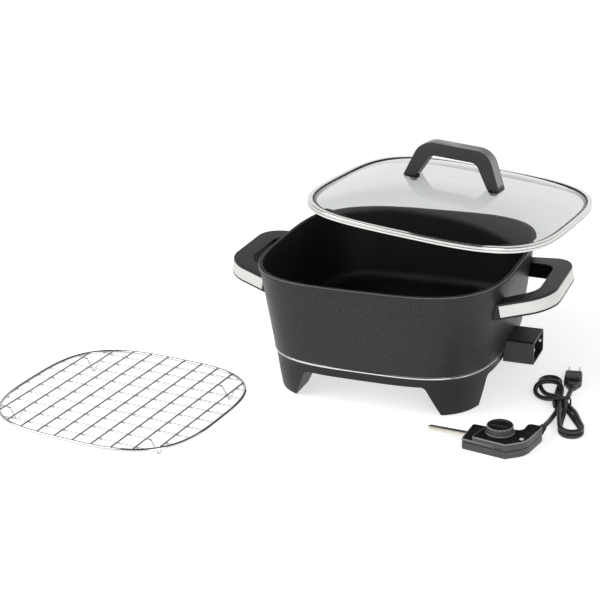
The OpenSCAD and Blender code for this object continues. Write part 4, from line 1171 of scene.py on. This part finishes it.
class SKILLET_OT_rack(bpy.types.Operator):
    """Bends and welds the wire roasting rack"""

    bl_idname = "skillet.rack"
    bl_label = "Rack"

    def execute(self, context):
        def edge_y(x):
            return RACK_Y * (1 - (abs(x) / RACK_X) ** RACK_N) ** (1 / RACK_N)

        def edge_x(y):
            return RACK_X * (1 - (abs(y) / RACK_Y) ** RACK_N) ** (1 / RACK_N)

        def wires(name, node, *shapes):
            made = solid(name, moved(together(*shapes), RACK_PLACE))
            piece(made, "rack", [node], ["chrome_wire"], sharp=60)

        rim = [(x, y, RACK_Z) for x, y in squircle(RACK_X, RACK_Y, RACK_N)]
        wires("RackRim", "rack_rim", tube(rim, 2.0, 20, closed=True))
        upper, lower = RACK_Z + WIRE, RACK_Z - WIRE
        long_x = [s * PITCH_X * (i + 0.5) for i in range(5) for s in (-1, 1)]
        wires("RackLongWires", "rack_long_wires", *[
            tube([(x, -edge_y(x), upper), (x, edge_y(x), upper)], WIRE, domed=True) for x in long_x
        ])
        cross_y = [PITCH_Y * (i + 0.5) for i in range(5)]
        leg_y = cross_y.pop(3)
        wires("RackCrossWires", "rack_cross_wires", *[
            tube([(-edge_x(y), s * y, lower), (edge_x(y), s * y, lower)], WIRE, domed=True)
            for y in cross_y for s in (-1, 1)
        ])
        drop = (RACK_Z - 2 * WIRE) / 15.6
        bend = [
            (-11, 0), (-9.4, -0.4), (-8.4, -1.6), (-2.2, -13.6), (-1.2, -15.1), (0, -15.7),
            (1.2, -15.1), (2.2, -13.6), (8.4, -1.6), (9.4, -0.4), (11, 0),
        ]
        legs = []
        for s in (-1, 1):
            route = [(-edge_x(leg_y), s * leg_y, lower)]
            for x in (-LEG_X, LEG_X):
                route += [(x + u, s * leg_y, lower + v * drop) for u, v in bend]
            route.append((edge_x(leg_y), s * leg_y, lower))
            legs.append(tube(soften(route, 2), WIRE, domed=True))
        wires("RackLegWires", "rack_leg_wires", *legs)
        return {"FINISHED"}


def arc(x, y, r, start, end, steps=20):
    angles = [math.radians(start + (end - start) * i / steps) for i in range(steps + 1)]
    return [(x + r * math.cos(t), y + r * math.sin(t)) for t in angles]


def plan(deck, g=0.0):
    """Outline of the housing, or of its raised deck, drawn in by g."""
    nose = arc(-22.9, -17.9, 2.5 - g, 165, 263.8) if deck else arc(-34.6, -16.2, 3.4 - g, 180, 263.8)
    heel = arc(-17, 9.2, 2.5 - g, 87, 165) if deck else arc(-34.6, 16.2, 3.4 - g, 87, 180)
    return [
        *nose, *arc(13.4, -22.3, 2.5 - g, 263.8, 310), *arc(9, 4, 25.5 - g, 310, 352, 28),
        *arc(33.6, 28.5, 5 - g, 352, 450), *arc(26.2, 28.5, 5 - g, 90, 176),
        *arc(14.4, 21 if deck else 24.2, 6.4 + g, -4, -93), *heel,
    ]


class SKILLET_OT_control(bpy.types.Operator):
    """Moulds the two halves of the heat control and finishes what is in them"""

    bl_idname = "skillet.control"
    bl_label = "Heat control"

    def execute(self, context):
        split = HOUSING_SEAM
        posts = [(-29, -7.7), (-29, 7.7), (15, -15.5), (28, 13)]
        # Ways out of the housing for the probe, the two contact sockets and the cord.
        passages = [bolt(-45, -14, 0, split, 3.2)]
        passages += [bolt(-45, -14, y, split, 3.15) for y in (-PIN_Y, PIN_Y)]
        out = Matrix.Translation((EXIT_X, 26, split)) @ turned(EXIT_TURN)
        passages.append(moved(rod((0, 0, 0), (0, 12, 0), 3.65), out))
        grooves = [stud(11 - 2.6 * i, -25 + 0.28 * i, 2.4, 12, 0.9, 24) for i in range(4)]

        def room(low, high):
            """The hollow inside, with the solid nose and the cord's corner left standing."""
            inside = solid("room", prism(plan(False, 2.2), low, high))
            low, high = low - 1, high + 1
            cut(inside, block((-60, -40, low), (-16, 40, high)), block((26, 24, low), (46, 45, high)))
            return inside

        made = solid("ControlBase", eased(lambda g: plan(False, g), 0, split - 0.03, 1.0, 0.5))
        inside = room(2.2, split + 1)
        cut(made, inside)
        discard(inside)
        combine(made, "UNION", *[stud(x, y, 1, split - 0.03, 3.6) for x, y in posts])
        cut(made, *passages, *grooves)
        for x, y in posts:
            cut(made, stud(x, y, -1, 2.6, 2.9), stud(x, y, 1, 20, 1.65))
        soften_edges(made, 0.45, 45)
        made.data.transform(CONTROL_PLACE)
        piece(made, "control", ["control_base"], CONTROL_PLASTIC, control_face)

        # The raised deck and the low nose are two shells that share their middle.
        low_room = room(split - 1, NOSE_H - 2.2)
        deck_room = solid("room", prism(plan(True, 2.2), NOSE_H - 2.4, HOUSING_H - 2.2))
        cut(deck_room, block((-60, -40, 0), (-16, 40, 30)))
        shells = []
        for deck, inset, top in ((False, 0.03, NOSE_H), (True, 0, HOUSING_H)):
            shell = solid("shell", eased(
                lambda g, deck=deck, inset=inset: plan(deck, g + inset), split + 0.03, top, 0.5, 1.1
            ))
            cut(shell, low_room, deck_room, *passages, *grooves)
            if deck:
                # The holes of the dial's shaft and of the lamp's window.
                cut(shell, stud(0, 0, 10, 30, 3.5), stud(26.4, -5.5, 10, 30, 2.6))
            soften_edges(shell, 0.3, 45)
            shells.append(shell)
        made = join("ControlCover", shells)
        discard(low_room, deck_room)
        made.data.transform(CONTROL_PLACE)
        piece(made, "control", ["control_cover"], CONTROL_PLASTIC, control_face)

        dress("zinc", "housing_screws", "thermostat_frame")
        dress("nickel", "probe_rod")
        dress("brass", "contact_sockets", "contact_leaf")
        dress("ceramic", "ceramic_spacers")
        dress("neon_lamp", "indicator_lamp")
        dress("lamp_window", "indicator_lens")
        return {"FINISHED"}


class SKILLET_OT_dial(bpy.types.Operator):
    """Turns the temperature dial with its flange, notches, dish and grip bar"""

    bl_idname = "skillet.dial"
    bl_label = "Dial"

    def execute(self, context):
        r, step = DIAL_R, DIAL_Z + 3.2
        section = rounded([
            (3.0, DIAL_Z, 0), (r + 1.2, DIAL_Z, 0.5), (r + 1.2, DIAL_Z + 2.4, 0.7),
            (r - 0.6, DIAL_Z + 2.4, 0.2), (r - 0.6, step, 0.1), (r, step, 0.2), (r, DIAL_TOP, 1.3),
            (2.0, DIAL_TOP, 0),
        ])
        made = solid("TemperatureDial", loft(section))
        cut(made, stud(0, 0, DIAL_Z - 1, DIAL_TOP - 3, 2.95))
        dish = solid("dish", stud(0, 0, DIAL_TOP - 1.6, DIAL_TOP + 1, r - 3, 96))
        cut(dish, block((-r, -2, DIAL_TOP - 3), (r, 2, DIAL_TOP + 3)))
        cut(made, dish)
        discard(dish)
        notches = []
        for i in range(18):
            t = math.radians(20 * i)
            x, y = (r + 0.35) * math.cos(t), (r + 0.35) * math.sin(t)
            notches.append(stud(x, y, step, DIAL_TOP + 1, 0.8, 24))
        cut(made, together(*notches))
        soften_edges(made, 0.35, 45)
        made.data.transform(CONTROL_PLACE)
        piece(made, "dial", ["temperature_dial"], CONTROL_PLASTIC, control_face)
        dress("zinc", "dial_shaft")
        return {"FINISHED"}


WHITE = (1, 1, 1, 1)
# Between these distances from the skillet, in metres, the floor turns into the plain white of the room.
FLOOR_FADE = (0.55, 1.25)
# What mirrors see by height, with the horizon at 0 and straight up at 1: a white backdrop, its grey top,
# and above CEILING_FROM the dark room.
BACKDROP = [(0.3, 1.0), (0.48, 0.4), (0.67, 0.36)]
CEILING_FROM = 0.71
# Name, place, aim, size and power of each lamp, in metres.
LAMPS = [
    ("Key lamp", (-1.4, -1.0, 1.3), (0, 0, 0.05), 1.7, "key_power"),
    ("Fill lamp", (1.1, -1.6, 0.8), (0.1, 0, 0.1), 1.2, "fill_power"),
]


def looked_at(tree, rays, kinds, surround):
    """1 for camera rays and those of the given kinds, else 0; then 1 for the same rays, else surround."""
    seen = rays.outputs["Is Camera Ray"]
    for kind in kinds:
        seen = add(tree, "ShaderNodeMath", {"operation": "MAXIMUM"}, {0: seen, 1: rays.outputs[kind]})
    return seen, add(tree, "ShaderNodeMapRange", inputs={"Value": seen, "To Min": surround, "To Max": 1.0})


class SKILLET_OT_stage(bpy.types.Operator):
    """Lays the plain floor and sets the soft lights and the pale room"""

    bl_idname = "skillet.stage"
    bl_label = "Stage"

    def execute(self, context):
        stage = context.scene.skillet_stage
        work = bmesh.new()
        bmesh.ops.create_grid(work, x_segments=8, y_segments=8, size=9.0)
        mesh = bpy.data.meshes.new("Floor")
        work.to_mesh(mesh)
        work.free()
        floor = placed("Floor", mesh)
        floor.location.z = -0.0002
        material = bpy.data.materials.new("Studio floor")
        tree = cleared(material)
        place = add(tree, "ShaderNodeNewGeometry").outputs["Position"]
        far = add(tree, "ShaderNodeVectorMath", {"operation": "LENGTH"}, {0: place}).outputs["Value"]
        start, end = FLOOR_FADE
        fade = add(
            tree, "ShaderNodeMapRange", {"interpolation_type": "SMOOTHSTEP"},
            {"Value": far, "From Min": start, "From Max": end, "To Min": 0.0, "To Max": 1.0},
        )
        paper = add(tree, "ShaderNodeBsdfDiffuse", inputs={"Color": (*stage.floor_tone, 1)})
        rays = add(tree, "ShaderNodeLightPath")
        seen, level = looked_at(tree, rays, ("Is Glossy Ray", "Is Transmission Ray"), stage.surround)
        lift = add(tree, "ShaderNodeMath", {"operation": "MULTIPLY"}, {0: seen, 1: stage.floor_lift})
        lift = add(tree, "ShaderNodeEmission", inputs={"Color": WHITE, "Strength": lift})
        near = add(tree, "ShaderNodeAddShader", inputs={0: paper, 1: lift})
        white = add(tree, "ShaderNodeEmission", inputs={"Color": WHITE, "Strength": level})
        mixed = add(tree, "ShaderNodeMixShader", inputs={0: fade, 1: near, 2: white})
        add(tree, "ShaderNodeOutputMaterial", inputs={"Surface": mixed})
        mesh.materials.append(material)

        world = bpy.data.worlds.new("Pale room")
        context.scene.world = world
        tree = cleared(world)
        rays = add(tree, "ShaderNodeLightPath")
        _, level = looked_at(tree, rays, ("Is Transmission Ray",), stage.surround)
        facing = add(tree, "ShaderNodeTexCoord").outputs["Generated"]
        height = add(tree, "ShaderNodeSeparateXYZ", inputs={0: facing}).outputs["Z"]
        stops = [(at, (grey,) * 3) for at, grey in [*BACKDROP, (CEILING_FROM, stage.ceiling)]]
        mirrored = add(tree, "ShaderNodeValToRGB", {"stops": stops}, {"Fac": height})
        level = add(tree, "ShaderNodeMix", inputs={0: rays.outputs["Is Glossy Ray"], 2: level, 3: mirrored})
        sky = add(tree, "ShaderNodeBackground", inputs={"Color": WHITE, "Strength": level})
        add(tree, "ShaderNodeOutputWorld", inputs={"Surface": sky})

        for name, place, aim, size, power in LAMPS:
            data = bpy.data.lights.new(name, "AREA")
            data.shape, data.size, data.energy = "DISK", size, getattr(stage, power)
            lamp = placed(name, data)
            lamp.location = place
            lamp.rotation_euler = (Vector(aim) - Vector(place)).to_track_quat("-Z", "Y").to_euler()
        context.scene.view_settings.view_transform = "Standard"
        return {"FINISHED"}


OPERATORS = [
    SKILLET_OT_camera, SKILLET_OT_cord, SKILLET_OT_pan, SKILLET_OT_base, SKILLET_OT_element, SKILLET_OT_guard,
    SKILLET_OT_handles, SKILLET_OT_lid, SKILLET_OT_lid_handle, SKILLET_OT_rack, SKILLET_OT_control,
    SKILLET_OT_dial, SKILLET_OT_stage,
]


class SKILLET_PT_panel(bpy.types.Panel):
    """Sizes, colours and one button for each group of pieces"""

    bl_idname = "SKILLET_PT_panel"
    bl_label = "Electric skillet"
    bl_space_type = "VIEW_3D"
    bl_region_type = "UI"
    bl_category = "Skillet"

    def draw(self, context):
        scene = context.scene
        for group in (scene.skillet_shape, scene.skillet_colours, scene.skillet_stage):
            box = self.layout.box()
            for name in group.__annotations__:
                box.prop(group, name)
        for operator in OPERATORS:
            self.layout.operator(operator.bl_idname)


CLASSES = [SKILLET_PG_shape, SKILLET_PG_colours, SKILLET_PG_stage, *OPERATORS, SKILLET_PT_panel]


def register():
    for cls in CLASSES:
        bpy.utils.register_class(cls)
    bpy.types.Scene.skillet_shape = bpy.props.PointerProperty(type=SKILLET_PG_shape)
    bpy.types.Scene.skillet_colours = bpy.props.PointerProperty(type=SKILLET_PG_colours)
    bpy.types.Scene.skillet_stage = bpy.props.PointerProperty(type=SKILLET_PG_stage)


def unregister():
    del bpy.types.Scene.skillet_stage
    del bpy.types.Scene.skillet_colours
    del bpy.types.Scene.skillet_shape
    for cls in reversed(CLASSES):
        bpy.utils.unregister_class(cls)


def main():
    register()
    for operator in OPERATORS:
        getattr(bpy.ops.skillet, operator.bl_idname.split(".")[1])()


if __name__ == "__main__":
    main()
